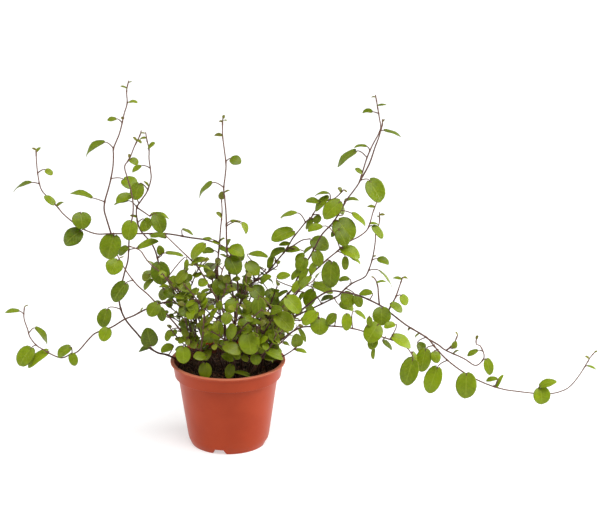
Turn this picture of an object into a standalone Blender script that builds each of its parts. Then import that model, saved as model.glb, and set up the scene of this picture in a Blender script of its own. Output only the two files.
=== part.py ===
# A wire vine in a nursery pot: a moulded pot, its peat, and a node for each leafy stem.
# Lengths are in millimetres until the last step, which makes them metres.
# The pot stands on z = 0 with its axis on the origin; +X is to the viewer's right, +Y is away.

import math
import random

import bmesh
import bpy
from mathutils import Matrix, Vector
from mathutils.bvhtree import BVHTree

MM = 0.001

# Pot: a 12 cm moulded nursery pot
POT_HEIGHT = 91.0
LIP_RADIUS = 60.0
LIP_DEPTH = 2.4
LIP_EASE = 0.5
LIP_EDGE = 0.6
LIP_UNDER = 0.4
BAND_TOP_RADIUS = 57.2
BAND_FOOT_RADIUS = 55.4
BAND_FOOT_Z = 74.0
BAND_STEP = 0.6
WALL_TOP_RADIUS = 51.9
WALL_FOOT_RADIUS = 42.3
WALL_FOOT_Z = 6.5
FOOT_RADIUS = 39.5
FOOT_WIDTH = 2.2
FOOT_FLARE = 1.2
FOOT_FLARE_Z = 2.4
WALL = 1.3
CHANNEL_HEIGHT = 4.0
CHANNEL_LEAN = 0.8
PAD_RADIUS = 16.0
PAD_LEAN = 1.6
FLOOR_CORNER_Z = 9.0
POT_SIDES = 24
NOTCH_COUNT = 4
NOTCH_FIRST = -102.5
NOTCH_WIDTH = 14.5
NOTCH_TOP_WIDTH = 9.0
NOTCH_HEIGHT = 5.0
NOTCH_REACH = 14.0
DRAIN_COUNT = 8
DRAIN_RADIUS = 3.5
DRAIN_CIRCLE = 27.0
DRAIN_SIDES = 8
CUT_SPARE = 2.0
SMOOTH_UNDER = math.radians(35)

# Peat
SOIL_TOP = 79.0
SOIL_GAP = 0.3
SOIL_LUMP = 1.4
SOIL_RINGS = (0.0, 17.0, 32.0, 45.0)
SOIL_EDGE_DROP = 0.5
SOIL_FOOT_INSET = 2.5
SOIL_SEED = 7
HOLE_RADIUS = 2.0
HOLE_SIDES = 6
HOLE_SPARE = 0.4
HOLE_RISE = 8.0
ROOT_DEPTH = 12.0
ROOT_NECK = 3.0

# Stems and leaves
STEM_STEP = 8.0
STEM_TOLERANCE = 0.5
STEM_BASE_RADIUS = 1.1
STEM_TIP_RADIUS = 0.6
SHOOT_BASE_RADIUS = 0.8
LEAF_THICKNESS = 0.75
LEAF_RATIO = 0.84
LEAF_ARCH = 0.09
STALK_DROP = 3.0
STALK_BEND = 0.4
FLAT_ANGLE = math.radians(5)
SHORTEST_EDGE = 0.002
PETIOLE_WIDTH = 0.75
SMALL_LEAF = 14.0
TINY_LEAF = 7.5
LONG_STALK = 12.0
CLEARANCE = 0.5
SLIDES = (0, -3, 3, -6, 6, -9, 9, -12, 12, -16, 16, -20, 20, -25, 25, -30, 30, -36, 36)

# The view in which the plant was measured: the eye, what it looks at, and its upward direction.
# The rows' x and z are read on a grid in that view: its centre, and a step up as part of a step across.
EYE = Vector((75.1, -2090.0, 884.7))
AIM = Vector((75.1, 0.0, 195.7))
VIEW_UP = Vector((1.0, 0.0, 0.0)).cross(AIM - EYE).normalized()
GRID_CENTRE = (76.0, 196.2)
GRID_RISE = 0.963


# Each vine: its root in the soil (x, y), the way its stem goes, its leaves, and its side shoots.
# A stem's points are (x, z, depth): where the point is seen on the view's grid, and how far it
# lies behind the pot's axis.
# A leaf is (base x, base z, tip x, tip z, how much further back the tip is, how far the upper
# face leans to the viewer, and where the leaf is narrow or broad its width).
VINES = [
    {"name": "vine_far_left", "root": (-2, 20),
     "stem": [(6, 120, 24), (12, 146, 27), (11, 184, 31), (3, 209, 34), (-16, 220, 36), (-38, 224, 38),
              (-62, 228, 40), (-90, 228, 42), (-118, 228, 44), (-134, 228, 45), (-150, 235, 46),
              (-166, 248, 46), (-173.5, 257, 45), (-184, 268, 44), (-190, 276, 42), (-193, 290, 40),
              (-194.5, 304, 38), (-195, 317, 37)],
     "leaves": [(-201, 282, -218.5, 273, 4, 0.1, 14), (-176, 260, -186.5, 268, -3, 0.9, 8),
                (-172, 260, -167, 262, 1, 0.3), (-185, 296, -178, 291, -3, 0.6),
                (-196, 318, -199.5, 319.5, 1, 0.3), (-194, 318, -190.5, 320.5, -1, 0.3),
                (-149, 250, -147.5, 233, -8, 1, 19), (-149, 231, -166, 217, -6, 0.9, 19),
                (-115, 226, -122, 201, -6, 1, 22), (-44, 232.5, -33, 227, 2, 0.1),
                (-62, 224, -79, 227.5, 3, 0.1, 11)],
     "shoots": [
         {"stem": [(-118, 228, 44), (-123, 245, 48), (-125, 253, 50), (-124.5, 262, 52), (-121, 275, 55),
                   (-118.5, 285, 57), (-116, 300, 60), (-115.5, 313, 62), (-115.5, 319, 63),
                   (-110, 333, 65), (-107.5, 342, 66), (-104.5, 356, 67), (-101.5, 367, 67),
                   (-102, 380, 66), (-100, 391, 65)],
          "leaves": [(-138.5, 266.5, -160, 271, 3, 0.05, 15), (-105, 286, -92, 277, -8, 0.8, 15),
                     (-125.5, 325, -144.5, 310.5, 4, 0.25, 17), (-113, 350.5, -122, 349, -1, 0.4),
                     (-110, 351, -106.5, 353, 1, 0.2), (-99.5, 368.5, -91, 368, -2, 0.2),
                     (-104, 383.5, -108.5, 385.5, 0, 0.2), (-99.5, 388.5, -96.5, 390, 0, 0.2)]}]},
    {"name": "vine_left_middle", "root": (-14, 12),
     "stem": [(-20, 104, 14), (-28, 127, 17), (-34, 137, 18), (-51, 154, 20), (-60, 164, 21), (-66, 174, 22),
              (-69.5, 198, 24), (-75.5, 216, 25), (-88, 232, 26), (-91.5, 245, 27), (-91.5, 256, 27),
              (-86, 265, 26), (-81, 273, 25), (-77, 286, 23), (-77.5, 296, 21), (-79, 308, 20),
              (-79, 318, 19), (-81, 327, 18), (-82.5, 336, 17)],
     "leaves": [(-87.5, 300, -96.5, 294, -2, 0.5, 7), (-79.5, 319.5, -73, 325, -2, 0.5),
                (-83.5, 329.5, -88.5, 329, 0, 0.3), (-89, 281, -94, 264, -7, 1, 14),
                (-87.5, 281.5, -84.5, 284, 0, 0.3), (-98, 268.5, -113, 262, -6, 0.7, 11),
                (-101, 263, -115, 259.5, 2, 0.1, 9), (-94, 246, -98.5, 247.5, -1, 0.5),
                (-84, 243, -80, 231, 5, 0.8, 14), (-66, 206, -69, 215, -3, 1),
                (-61, 207.5, -43.5, 204.5, 3, 0.05, 12), (-69, 197, -66, 173.5, -6, 1, 19),
                (-79, 184, -85, 179, -3, 0.6), (-75.5, 179, -84, 168, -3, 0.3, 8),
                (-35, 133.5, -35.5, 121.5, -2, 0.3, 6)],
     "shoots": [{"stem": [(-91.5, 256, 27), (-85, 251.5, 22), (-78, 246.5, 18)],
                 "leaves": [(-72, 249, -65, 229, -7, 1, 15), (-76, 248, -58, 244, 4, 0.1, 12)]}]},
    {"name": "vine_left_rim", "root": (-36, -2),
     "stem": [(-44, 90.5, -2), (-60, 98.6, -4), (-70, 101, -6), (-80, 108, -8), (-90, 120, -10), (-103.5, 137, -12),
              (-109, 152, -13), (-109.5, 166, -13), (-106.5, 177, -12), (-103.5, 189, -11), (-100.5, 201, -10),
              (-99.5, 221, -8), (-97.5, 238, -6), (-95.5, 250, -5), (-95.5, 262, -4), (-98, 276, -3),
              (-102, 290, -2), (-104, 300, -1), (-99, 308, 0), (-94, 321, 1), (-88.5, 332.5, 2), (-87, 338, 2)],
     "leaves": [(-98, 307.5, -90.5, 302, -3, 0.8), (-99, 309, -100, 313, 0, 0.5), (-92, 327, -95.5, 331, 0, 0.3),
                (-90.5, 327, -87, 324.5, 0, 0.3), (-87, 335, -83, 335, 0, 0.2), (-122, 147, -127, 128, -5, 1, 14),
                (-97, 241, -101, 221, -6, 1, 16), (-90, 213.5, -70, 220.5, -5, 0.5, 11),
                (-55, 108.5, -67, 102.5, -4, 0.6, 10),
                (-77, 108.5, -81, 127, -5, 1, 17), (-79, 106, -90, 102.5, 4, 0.4, 8)]},
    {"name": "vine_left_inner", "root": (-16, -2),
     "stem": [(-20, 104, -4), (-28, 137, -10), (-38, 152, -14), (-48, 166, -18), (-59, 179, -21), (-68, 187.5, -23),
              (-77, 195, -25), (-83, 202.5, -26), (-87.5, 209.5, -27), (-93, 212.5, -28), (-99, 214.5, -28)],
     "leaves": [(-101.5, 214, -110, 205, -3, 0.5, 9), (-49, 177, -36, 167, -5, 0.8, 13),
                (-41, 187.5, -51, 175.5, -5, 0.6, 12), (-51, 162, -36, 160, -3, 0.6, 10),
                (-40, 200, -41, 190, -2, 0.2, 5), (-30, 164, -24, 156, 3, 0.4)]},
    {"name": "vine_left_slope", "root": (-24, -10),
     "stem": [(-28, 100, -16), (-37, 112, -20), (-49, 128, -25), (-60, 141, -29), (-70, 152, -32), (-80, 163, -35),
              (-91, 173, -38), (-101, 186, -40), (-107.5, 197, -41), (-111.5, 205, -41)],
     "leaves": [(-111, 200, -118, 184.5, -8, 1, 17), (-103, 175, -116, 156, -6, 0.8, 16),
                (-70, 153, -79, 140, -5, 1, 14), (-68, 149, -64.5, 134.5, -3, 0.6, 9),
                (-57, 124.5, -61.5, 113.5, -3, 0.8, 7), (-40, 117.5, -49, 111.5, -3, 0.5, 8),
                (-107, 203, -104.5, 203.5, 0, 0.3)]},
    {"name": "vine_low_left", "root": (-30, 8),
     "stem": [(-32, 108, 8), (-38, 133, 6), (-44, 148, 4), (-52, 154, 2), (-64, 154.5, 1), (-83, 147, -18),
              (-95, 140.5, -24), (-104.5, 136.5, -27), (-118, 128, -30), (-133, 122.5, -32), (-140, 116.5, -33),
              (-152, 102.5, -34), (-159.5, 99.5, -34), (-169, 95.5, -34), (-181, 100.3, -33), (-187, 104, -32.5),
              (-195, 109.3, -31), (-201.3, 117.8, -30), (-203.5, 125.5, -28), (-207.4, 138, -27), (-207, 150, -26)],
     "leaves": [(-160, 107, -173, 97, -4, 0.7, 11), (-158.5, 100, -155, 87, -3, 0.8, 9),
                (-200, 106, -212, 87, -5, 1, 17), (-183, 102.5, -203.5, 85.5, -4, 0.5, 12),
                (-195.5, 127, -183, 110.5, 3, 0.2, 13), (-213, 145.5, -227, 144.5, 2, 0.2, 9),
                (-206, 150.5, -203, 152, 0, 0.2), (-121, 127, -127.5, 113.5, -5, 1, 13),
                (-89, 148.5, -85, 149, 0, 0.3)]},
    {"name": "vine_centre_tall", "root": (6, -4),
     "stem": [(8, 104, -5), (9, 146, -7), (5, 177, -8), (2, 194, -8), (0.7, 216, -8), (0.2, 247, -8), (-1.2, 265, -8),
              (-2.3, 276, -8), (-0.8, 290, -8), (0, 302, -8), (-2, 320, -8), (-3.5, 333, -8), (-3.5, 347, -8),
              (-3, 352, -8)],
     "leaves": [(-15, 281.5, -28, 266.5, 3, 0.2, 15), (5, 308, 15.5, 303.5, -4, 0.9, 11),
                (-5.5, 332.5, -12, 333, -1, 0.4), (-4, 347, -7.5, 348, 0, 0.4), (-3, 347, 0.5, 348.5, 0, 0.4),
                (-3, 351, -1.5, 354.5, 0, 0.6), (1, 272, 4, 274.5, 0, 0.3), (5, 241, 16, 239, 3, 0.1, 8),
                (16.5, 239.5, 21, 228, 2, 0.4, 8), (4, 213, 18, 205, -6, 0.8, 14), (4, 203, 12, 184.5, -8, 1, 17),
                (4, 216, 4.5, 222, -3, 0.8), (0.5, 203, -6, 206, -2, 0.2), (0, 187, 6, 185, -3, 0.5),
                (10, 157, 1, 144, -6, 0.9, 14), (7, 179, 15, 179.5, -2, 0.5),
                (15, 130.5, 11, 122, -3, 0.8, 7)]},
    {"name": "vine_centre_twin", "root": (-6, 4),
     "stem": [(-8, 104, 4), (-6, 140, 6), (-7.5, 157, 7), (-8.5, 190, 8), (-8, 203, 8), (-6.5, 220, 8), (-5.5, 234, 7),
              (-4, 250, 6), (-4.5, 263, 5), (-4.5, 270, 4)],
     "leaves": [(-4.5, 265, -4, 273, -2, 1), (-6, 246, -10, 250.5, -2, 0.8), (-7, 202, -9, 195, -3, 0.8),
                (-9, 217.5, -15, 219.5, -2, 0.4), (-6, 219, -1.5, 223.5, -2, 0.3), (-13, 210, -24, 208, -4, 0.5, 9),
                (-15, 222, -24, 223, 2, 0.1, 7), (-12, 186.5, -20, 183, -3, 0.6), (-7, 183, -1.5, 177.5, -4, 0.6),
                (-8, 179, -8, 162, -6, 1, 12), (-17.5, 168.5, -26, 164, -2, 0.3, 6), (-3, 213, 2, 209, -4, 0.6),
                (-3.3, 169, 10, 168, -3, 0.6, 10), (-4, 140, -10.5, 136, 2, 0.5, 5)]},
    {"name": "vine_left_diagonal", "root": (0, -14),
     "stem": [(-1, 104, -16), (-2, 140, -19), (-9, 157, -20), (-16, 170, -20), (-28, 191, -19), (-37, 201, -18),
              (-50, 214, -16), (-62, 226, -14)],
     "leaves": [(-63.5, 227, -78, 225, -3, 0.3, 9), (-22, 216.5, -35.5, 201, -4, 0.5, 12),
                (-20, 200.5, -36, 196.5, -3, 0.3, 9), (-28, 194, -15, 190, 3, 0.1, 8), (-20, 178, -28, 172.5, -4, 0.8, 10),
                (-8.5, 149, -16, 136.5, -3, 0.2, 7), (-19, 132, -17, 111, -6, 1, 17), (-10, 134, -6, 117, -5, 0.8, 11),
                (-17, 137.5, -26, 131, -4, 0.7, 10), (-27, 185, -32.7, 181.5, -2, 0.5)]},
    {"name": "vine_left_tuft", "root": (-28, -18),
     "stem": [(-27, 92, -24), (-25, 110, -30), (-23, 128, -34), (-23, 145, -36), (-25, 156, -38)],
     "leaves": [(-37, 156.5, -31, 142, -5, 1, 11), (-47, 149.5, -36, 140, -5, 0.8, 12),
                (-22, 145.5, -28.5, 141, -3, 0.5), (-44, 107, -44, 89.5, -6, 1, 15), (-21, 98, -33, 96, -6, 0.8, 11),
                (-26, 157, -20, 164, -3, 0.5), (-21.5, 89.5, -21, 72.5, -5, 1, 13)]},
    {"name": "vine_front", "root": (10, -24),
     "stem": [(8, 92, -30), (6, 108, -35), (9, 122, -39), (7, 134, -42), (3, 144, -44)],
     "leaves": [(22, 122, 26, 99, -8, 1, 21), (-2, 110, 15, 101, -7, 0.8, 14), (-3, 99, 7, 92, -5, 0.7, 9),
                (6, 88, 1.5, 73.5, -5, 0.9, 10), (3, 143, -2, 131.5, -5, 0.9, 11), (9, 130, 2, 115, 5, 0.9, 11),
                (8, 103, 13.5, 94, -5, 0.8, 8)]},
    {"name": "vine_front_low", "root": (24, -26),
     "stem": [(28, 84, -30), (32, 92, -34), (38, 100, -36), (46, 104, -34)],
     "leaves": [(30, 99.5, 31, 88, -5, 1, 11), (41, 103, 59, 95, 4, 0.6, 11), (17, 98, 22.5, 92, -4, 0.7),
                (16, 79, 9, 81, -6, 0.6)]},
    {"name": "vine_front_right", "root": (22, -14),
     "stem": [(30, 104, -20), (40, 124, -27), (50, 140, -33), (60, 152, -38), (68, 162, -42)],
     "leaves": [(62, 160, 76, 144, -6, 0.9, 16), (52, 142, 68, 125, -7, 1, 18), (46, 144, 58, 147.5, -4, 0.8, 10),
                (33, 159, 34, 138, -5, 1, 14), (28, 152, 17, 143, 5, 0.8, 12), (17, 139, 29, 133, 5, 0.8, 11),
                (34, 128, 40, 117, 6, 0.8, 12), (76, 170, 88, 182, -4, 0.7, 9), (37, 120, 37, 105, 3, 0.9, 12)]},
    {"name": "vine_right_tall", "root": (14, 6),
     "stem": [(19, 103, 6), (37, 130, 5), (55, 154, 4), (68, 169, 3), (74, 182, 2), (83, 198, 1), (90.5, 211.5, 1),
              (98.5, 227, 0), (111, 241.5, 0), (124, 264, 0), (130.5, 273, 0), (136.5, 282, -1), (139, 289.5, -1),
              (144.5, 308, -2), (150, 321.5, -3), (158.5, 339, -5), (157.5, 351, -6), (155, 367, -6), (153.5, 376, -6)],
     "leaves": [(150, 358, 140, 357.5, 1, 0.3, 8), (160.5, 365.5, 165, 365.5, 0, 0.3), (152.5, 373, 149, 373.5, 0, 0.2),
                (163, 338, 180, 332, 3, 0.1, 11), (133, 315.5, 114, 299.5, 4, 0.25, 17), (144, 321, 131.5, 320, 2, 0.1, 8),
                (138, 293.5, 132.5, 297.5, -2, 0.8), (147.5, 284.5, 160, 262.5, -6, 0.9, 19),
                (122.5, 263.5, 136.5, 264, 2, 0.1, 9), (117, 262, 100, 245, -5, 0.9, 17), (120, 249.5, 113, 262, 3, 0.3, 9),
                (130, 249, 144, 237.5, 2, 0.35, 10), (115, 242, 129, 221, -8, 1, 23), (90, 167, 82, 151, 4, 0.9, 14),
                (53, 181, 66, 185, 5, 0.5, 10), (81, 202, 74, 188, -5, 0.9, 13), (62.6, 166.7, 51.3, 159.3, 3, 0.4, 7),
                (37, 158, 47, 150, 3, 0.8, 9), (76, 188, 66.7, 179.5, 3, 0.6, 9), (88.4, 213.7, 79, 206, 2, 0.4, 6),
                (115, 232, 108, 224.5, -3, 0.5, 6)],
     "shoots": [{"stem": [(138, 285, -1), (147, 302, 4), (153, 320, 7), (157, 331, 7), (160.5, 344, 6), (160.5, 350, 5)],
                 "leaves": [(161, 347, 163, 350, 0, 0.2)]}]},
    {"name": "vine_right_upper", "root": (26, 0),
     "stem": [(30, 103, -3), (48, 128, -8), (66, 154, -12), (79, 174, -15), (90.5, 187.5, -17), (105, 201.5, -18),
              (114, 209, -18), (125.5, 219, -18), (135.8, 224.5, -17), (144.5, 231.5, -16), (148, 240, -15),
              (151, 251, -14), (155, 262, -13)],
     "leaves": [(151, 257, 145, 257, 0, 0.3), (151, 236, 161, 223, -4, 0.5, 9), (116, 232, 124, 215, -7, 1, 14),
                (119, 212, 137, 202, -5, 0.6, 14), (129, 202, 138, 196, 2, 0.3, 7), (122.5, 203, 122.5, 189, -1, 0.1, 7),
                (108.5, 197.5, 106.5, 170, -6, 1, 18), (92, 209, 96, 193, -5, 0.8, 12), (98, 236, 84, 231, -4, 0.5, 10),
                (151, 237, 157, 237.5, 2, 0.2), (60.6, 156, 54.4, 145.5, 3, 0.7, 8), (83.2, 190, 75, 175.5, -3, 0.7, 7),
                (92.5, 196.6, 86.3, 184, 3, 0.7, 8), (80, 164.6, 75, 157, 3, 0.6, 6), (76, 177, 68.5, 165, -4, 0.6, 8)]},
    {"name": "vine_right_side", "root": (24, 14),
     "stem": [(30, 103, 17), (50, 124, 22), (72, 140, 26), (92, 150, 28), (106, 157, 30), (115.5, 162, 30), (119.5, 166.5, 30),
              (129.5, 175, 30), (140.5, 180.5, 30), (145, 185.5, 30), (150, 200, 29), (153, 217, 27), (154, 229.5, 25),
              (157.5, 240, 24), (157.5, 251, 23)],
     "leaves": [(126, 180, 116, 178, -2, 0.4, 8), (158, 188, 170.5, 171.5, 3, 0.1, 12), (156, 201, 167.5, 196, -3, 0.6, 9),
                (158.5, 248, 163.5, 248, 0, 0.3), (157, 247, 154.5, 247, 0, 0.3), (121.5, 165, 129, 150, -5, 1, 14),
                (133, 162, 138, 149.5, -3, 0.7, 10), (117, 152, 131, 147, 5, 0.6, 13), (109.5, 160.5, 97, 157, 2, 0.3, 9),
                (90, 174, 110, 165, -4, 0.4, 13), (151, 203, 154.5, 204.5, 0, 0.2), (83, 150, 90, 143.5, -3, 0.8),
                (61.5, 124, 48.5, 123, -3, 0.5, 6)]},
    {"name": "vine_far_right", "root": (34, -8),
     "stem": [(42, 106, -14), (62, 131, -20), (84, 152, -25), (104, 166, -28), (121, 165.5, -29), (136.5, 162, -30),
              (157.5, 152, -31), (169.5, 143, -32), (184.5, 131, -33), (199.5, 121.5, -34), (208, 115.5, -34),
              (215.5, 106, -34), (227.5, 93, -33), (245.5, 79.2, -32), (266, 68.4, -30), (284.5, 62.2, -28),
              (300, 59.8, -26), (316, 57.9, -24), (332, 57.3, -22), (344, 60, -21), (353, 65, -20.5), (362, 76, -20),
              (370, 89, -19), (374, 96, -18), (378.5, 101.5, -18)],
     "leaves": [(323.5, 63.5, 325, 46, -5, 1, 17), (322.5, 65.5, 339.5, 71, 3, 0.3, 12), (278, 73.5, 267, 71, -1, 0.4, 7),
                (280, 75, 284.5, 78, 1, 0.3), (372, 95, 368.5, 97.5, 0, 0.4), (371, 87, 381, 83, 1, 0.2, 5),
                (378.5, 101.5, 381.5, 103, 0, 0.3), (247, 78.5, 246.5, 52, -6, 1, 20.5), (205, 104.5, 200, 80.5, -5, 1, 15),
                (217, 85, 207.5, 58, -5, 1, 17), (213.5, 102, 217, 90, -4, 0.9, 10), (149.5, 165, 136.5, 164, 3, 0.4, 10),
                (160, 149, 160, 130, -7, 1, 18), (197, 110.5, 203, 101, 3, 0.8, 11), (197, 119, 193.5, 117, 0, 0.2),
                (189, 127, 186.5, 124.5, 0, 0.4)],
     "shoots": [
         {"stem": [(208, 115.5, -34), (218, 109.5, -29), (226, 103.5, -26), (244, 95, -22), (256, 87.5, -19), (263.5, 93, -17),
                   (265, 99, -16), (261, 108.5, -15), (257, 110, -15), (257, 116, -14)],
          "leaves": [(267.5, 94, 272, 77.5, -3, 0.7, 10), (258, 103.5, 247.5, 98, -2, 0.3, 8), (257, 115.5, 259, 119.5, 0, 0.3),
                     (235, 102.5, 239, 104, 0, 0.3)]},
         {"stem": [(226, 103.5, -26), (230.5, 107, -23), (234.5, 112, -21), (238, 120, -20)],
          "leaves": [(233.5, 106, 236, 113.5, -2, 0.9, 6), (238.5, 121.5, 235.5, 123.5, 0, 0.3)]},
         {"stem": [(166.5, 145.5, -32), (172.5, 157, -29), (174.5, 161, -28), (178, 171.5, -26), (181.5, 182, -25)],
          "leaves": [(180, 162, 186, 152, -2, 0.5, 10), (169.5, 153.5, 181, 144.5, -3, 0.5, 10), (176.5, 181, 171.5, 181, -1, 0.5),
                     (182.5, 180.5, 187, 180.5, 0, 0.3)]},
         {"stem": [(157.5, 152, -31), (156.5, 163.5, -27), (156, 171, -25), (154, 178, -24), (151.5, 181.5, -23)],
          "leaves": [(159, 177, 164.5, 177, 0, 0.2), (152, 181, 149, 182, 0, 0.3)]}]},
    {"name": "vine_right_low", "root": (30, -20),
     "stem": [(40, 106, -28), (55.5, 114, -34), (66, 122, -38), (77, 128, -41), (88, 129, -44), (108, 129.5, -48),
              (129.5, 127, -51), (147, 122, -53), (164.5, 116.5, -54), (174.5, 113, -54), (186, 106, -54), (190.5, 100, -53)],
     "leaves": [(192, 94, 183.5, 66.5, -5, 1, 18), (191.5, 101, 195, 88, 3, 0.4, 8), (171, 118.5, 190, 107, -3, 0.6, 13),
                (156, 131, 144.5, 113, -7, 0.9, 19), (153, 116, 148.5, 104.5, -4, 0.9, 10), (161, 113.5, 171, 104.5, 2, 0.4, 8),
                (152, 105, 150.5, 94, 0, 0.1, 6), (124, 142, 124, 124.5, -4, 0.8, 10), (133, 145, 143.5, 137, 2, 0.4, 7),
                (173, 131.5, 162.5, 128, -3, 0.7, 8), (147.5, 139, 147, 129, -1, 0.4, 6), (96, 138, 95, 120, -7, 1, 18),
                (93, 144, 79, 131, -2, 0.8, 13), (80, 119, 82, 112.5, -2, 0.6, 5),
                (49, 118, 55.5, 111.5, -3, 0.6, 6), (112, 142, 104, 131, -3, 0.7, 10)]},
    {"name": "vine_over_rim", "root": (40, 0),
     "stem": [(46, 90, -2), (58, 97, -3), (66, 102, -4), (73, 107.5, -5)],
     "leaves": [(73, 108, 72, 121, -5, 0.9, 12), (72, 104, 83, 101.5, 1, 0.3, 7)]},
    {"name": "vine_right_inner", "root": (12, 18),
     "stem": [(15, 108, 22), (18, 146, 28), (23, 171, 32), (36.8, 181.5, 34), (45, 189.5, 35), (53, 200, 35), (61, 210, 35),
              (68.5, 223, 34), (75, 231.5, 33), (82, 240.5, 32), (88, 246, 31), (92, 253, 30), (101, 262, 28),
              (112, 266, 26), (121, 275, 24)],
     "leaves": [(72, 250, 55.5, 245.5, 3, 0.15, 12), (68.5, 231, 47, 221, -6, 0.7, 16), (59, 221, 54.5, 216, -2, 0.7),
                (60, 211.5, 45, 203, -4, 0.4, 10), (62, 210, 76, 210.5, -4, 0.5, 10), (80, 206, 71, 198.5, -3, 0.5, 9),
                (24.5, 206.5, 43, 203, -4, 0.3, 10), (22, 197, 33, 184, -6, 0.9, 14), (27, 171, 38, 159, -6, 1, 16),
                (43, 168, 50, 157, -5, 0.9, 12), (104.5, 267.5, 92, 252, -3, 0.4, 10), (95, 262.5, 82, 262.5, -3, 0.5, 9),
                (105, 271, 91, 268.5, 3, 0.1, 8), (119, 271.5, 115, 277, -1, 0.6), (121.5, 274, 124.5, 272, 0, 0.3),
                (36, 176, 46, 183, -4, 0.7, 9), (96, 247, 91, 239, -4, 0.7, 8), (24.5, 186, 18, 172, -3, 0.6, 8),
                (48, 204, 43.5, 192, -2, 0.5, 7), (90, 243.5, 81.5, 233, 2, 0.5, 8)],
     "shoots": [{"stem": [(61, 210, 35), (69.5, 215.5, 32), (78, 221, 29), (86, 222.5, 26)],
                 "leaves": [(88.5, 221.5, 105, 212, -6, 0.9, 17)]}]},
    {"name": "vine_back_left", "root": (-20, 26),
     "stem": [(-26, 110, 40), (-34, 130, 56), (-40, 150, 70), (-46, 166, 82), (-58, 182, 92), (-70, 190, 98)],
     "leaves": [(-72, 188, -84, 178, 10, -0.8, 15), (-58, 170, -66, 158, 9, -0.8, 14), (-48, 180, -40, 192, 8, -0.6, 13),
                (-36, 146, -48, 140, 10, -0.8, 15), (-30, 130, -20, 122, 9, -0.7, 13), (-38, 138, -28, 148, 8, -0.6, 12),
                (-28, 112, -38, 104, 9, -0.8, 13), (-74, 194, -82, 200, 5, -0.4, 9)]},
    {"name": "vine_back_centre", "root": (4, 30),
     "stem": [(2, 112, 48), (-2, 140, 66), (-6, 166, 80), (-4, 188, 92), (4, 204, 100)],
     "leaves": [(8, 208, 16, 200, 10, -0.8, 14), (-12, 196, -20, 186, 10, -0.8, 14), (0, 176, 10, 168, 9, -0.7, 14),
                (-12, 158, -22, 152, 9, -0.8, 15), (2, 148, 14, 150, 9, -0.7, 13), (-4, 128, -14, 122, 9, -0.8, 14),
                (8, 122, 18, 112, 8, -0.8, 13), (0, 208, -6, 214, 4, -0.5, 9)]},
    {"name": "vine_back_right", "root": (26, 26),
     "stem": [(36, 112, 42), (48, 132, 58), (60, 150, 72), (74, 166, 84), (90, 178, 92)],
     "leaves": [(93, 176, 104, 168, 9, -0.8, 14), (80, 178, 74, 190, 8, -0.6, 13), (66, 150, 76, 142, 9, -0.8, 15),
                (56, 152, 48, 164, 8, -0.7, 13), (50, 126, 58, 116, 8, -0.8, 13), (40, 124, 30, 132, 8, -0.7, 12),
                (34, 106, 44, 100, 8, -0.7, 12), (92, 181, 99, 188, 4, -0.4, 9)]},
]


# The point seen at (x, z) on the view's grid that lies the given depth behind the pot's axis.
def seen(x, z, depth):
    across, rise = x - GRID_CENTRE[0], (z - GRID_CENTRE[1]) * GRID_RISE
    sight = AIM + Vector((across, 0.0, 0.0)) + VIEW_UP * rise - EYE
    return EYE + sight * ((depth - EYE.y) / sight.y)


# A smooth curve through the points, as a list with a point about every step.
def smooth_path(points, step):
    ends = [points[0] * 2 - points[1]] + points + [points[-1] * 2 - points[-2]]
    path = []
    for a, b, c, d in zip(ends, ends[1:], ends[2:], ends[3:]):
        count = max(1, round((c - b).length / step))
        for i in range(count):
            t = i / count
            path.append(0.5 * (2 * b + (c - a) * t + (2 * a - 5 * b + 4 * c - d) * t * t
                               + (3 * b - a - 3 * c + d) * t * t * t))
    return path + [points[-1]]


# The path without the points that lie within the tolerance of a straight run.
def thinned(path, tolerance):
    run = path[-1] - path[0]
    off = [(p - path[0]).cross(run).length / run.length for p in path[1:-1]]
    if not off or max(off) < tolerance:
        return [path[0], path[-1]]
    far = off.index(max(off)) + 1
    return thinned(path[:far + 1], tolerance)[:-1] + thinned(path[far:], tolerance)


# The place on the path nearest to a point.
def nearest_on_path(path, aim):
    best = None
    for a, b in zip(path, path[1:]):
        along = b - a
        t = min(1.0, max(0.0, (aim - a).dot(along) / along.length_squared))
        spot = a + along * t
        if best is None or (spot - aim).length < (best - aim).length:
            best = spot
    return best


# A leaf's base, tip, stalk foot, its directions along, across and up, its length and width.
# A tiny leaf has no stalk: its base is sunk in the stem.
def leaf_frame(row, path, slide):
    base_x, base_z, tip_x, tip_z, tip_back, lean = row[:6]
    length = math.hypot(tip_x - base_x, tip_z - base_z)
    depth = path_depth(path, base_x, base_z) + slide
    tip = seen(tip_x, tip_z, depth + tip_back)
    base = seen(base_x, base_z, depth)
    if length < TINY_LEAF:
        base = nearest_on_path(path, base)
    foot = nearest_on_path(path, base - Vector((0.0, 0.0, STALK_DROP)))
    along = (tip - base).normalized()
    across = Vector((0.0, -lean, 1.0)).cross(along).normalized()
    return {"base": base, "tip": tip, "foot": foot, "along": along, "across": across,
            "up": along.cross(across), "length": (tip - base).length,
            "width": row[6] if len(row) > 6 else length * LEAF_RATIO, "stalked": length >= TINY_LEAF}


# The depth of the path where it is seen nearest to (x, z).
def path_depth(path, x, z):
    return min(path, key=lambda p: (seen(x, z, p.y) - p).length).y


# Half the width of a blade at u from base to tip: round below, pointed above.
def half_width(u, width):
    return 0.5 * width * math.sin(math.pi * u ** 0.8) ** 0.62


# A point on the blade's edge: u from base to tip, side 1 or -1. The blade arches along its length.
def edge_point(leaf, u, side, grow=0.0):
    lift = LEAF_ARCH * leaf["length"] * (1 - (2 * u - 1) ** 2)
    aside = side * (half_width(u, leaf["width"]) + grow)
    return leaf["base"] + leaf["along"] * (u * leaf["length"]) + leaf["across"] * aside + leaf["up"] * lift


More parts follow.
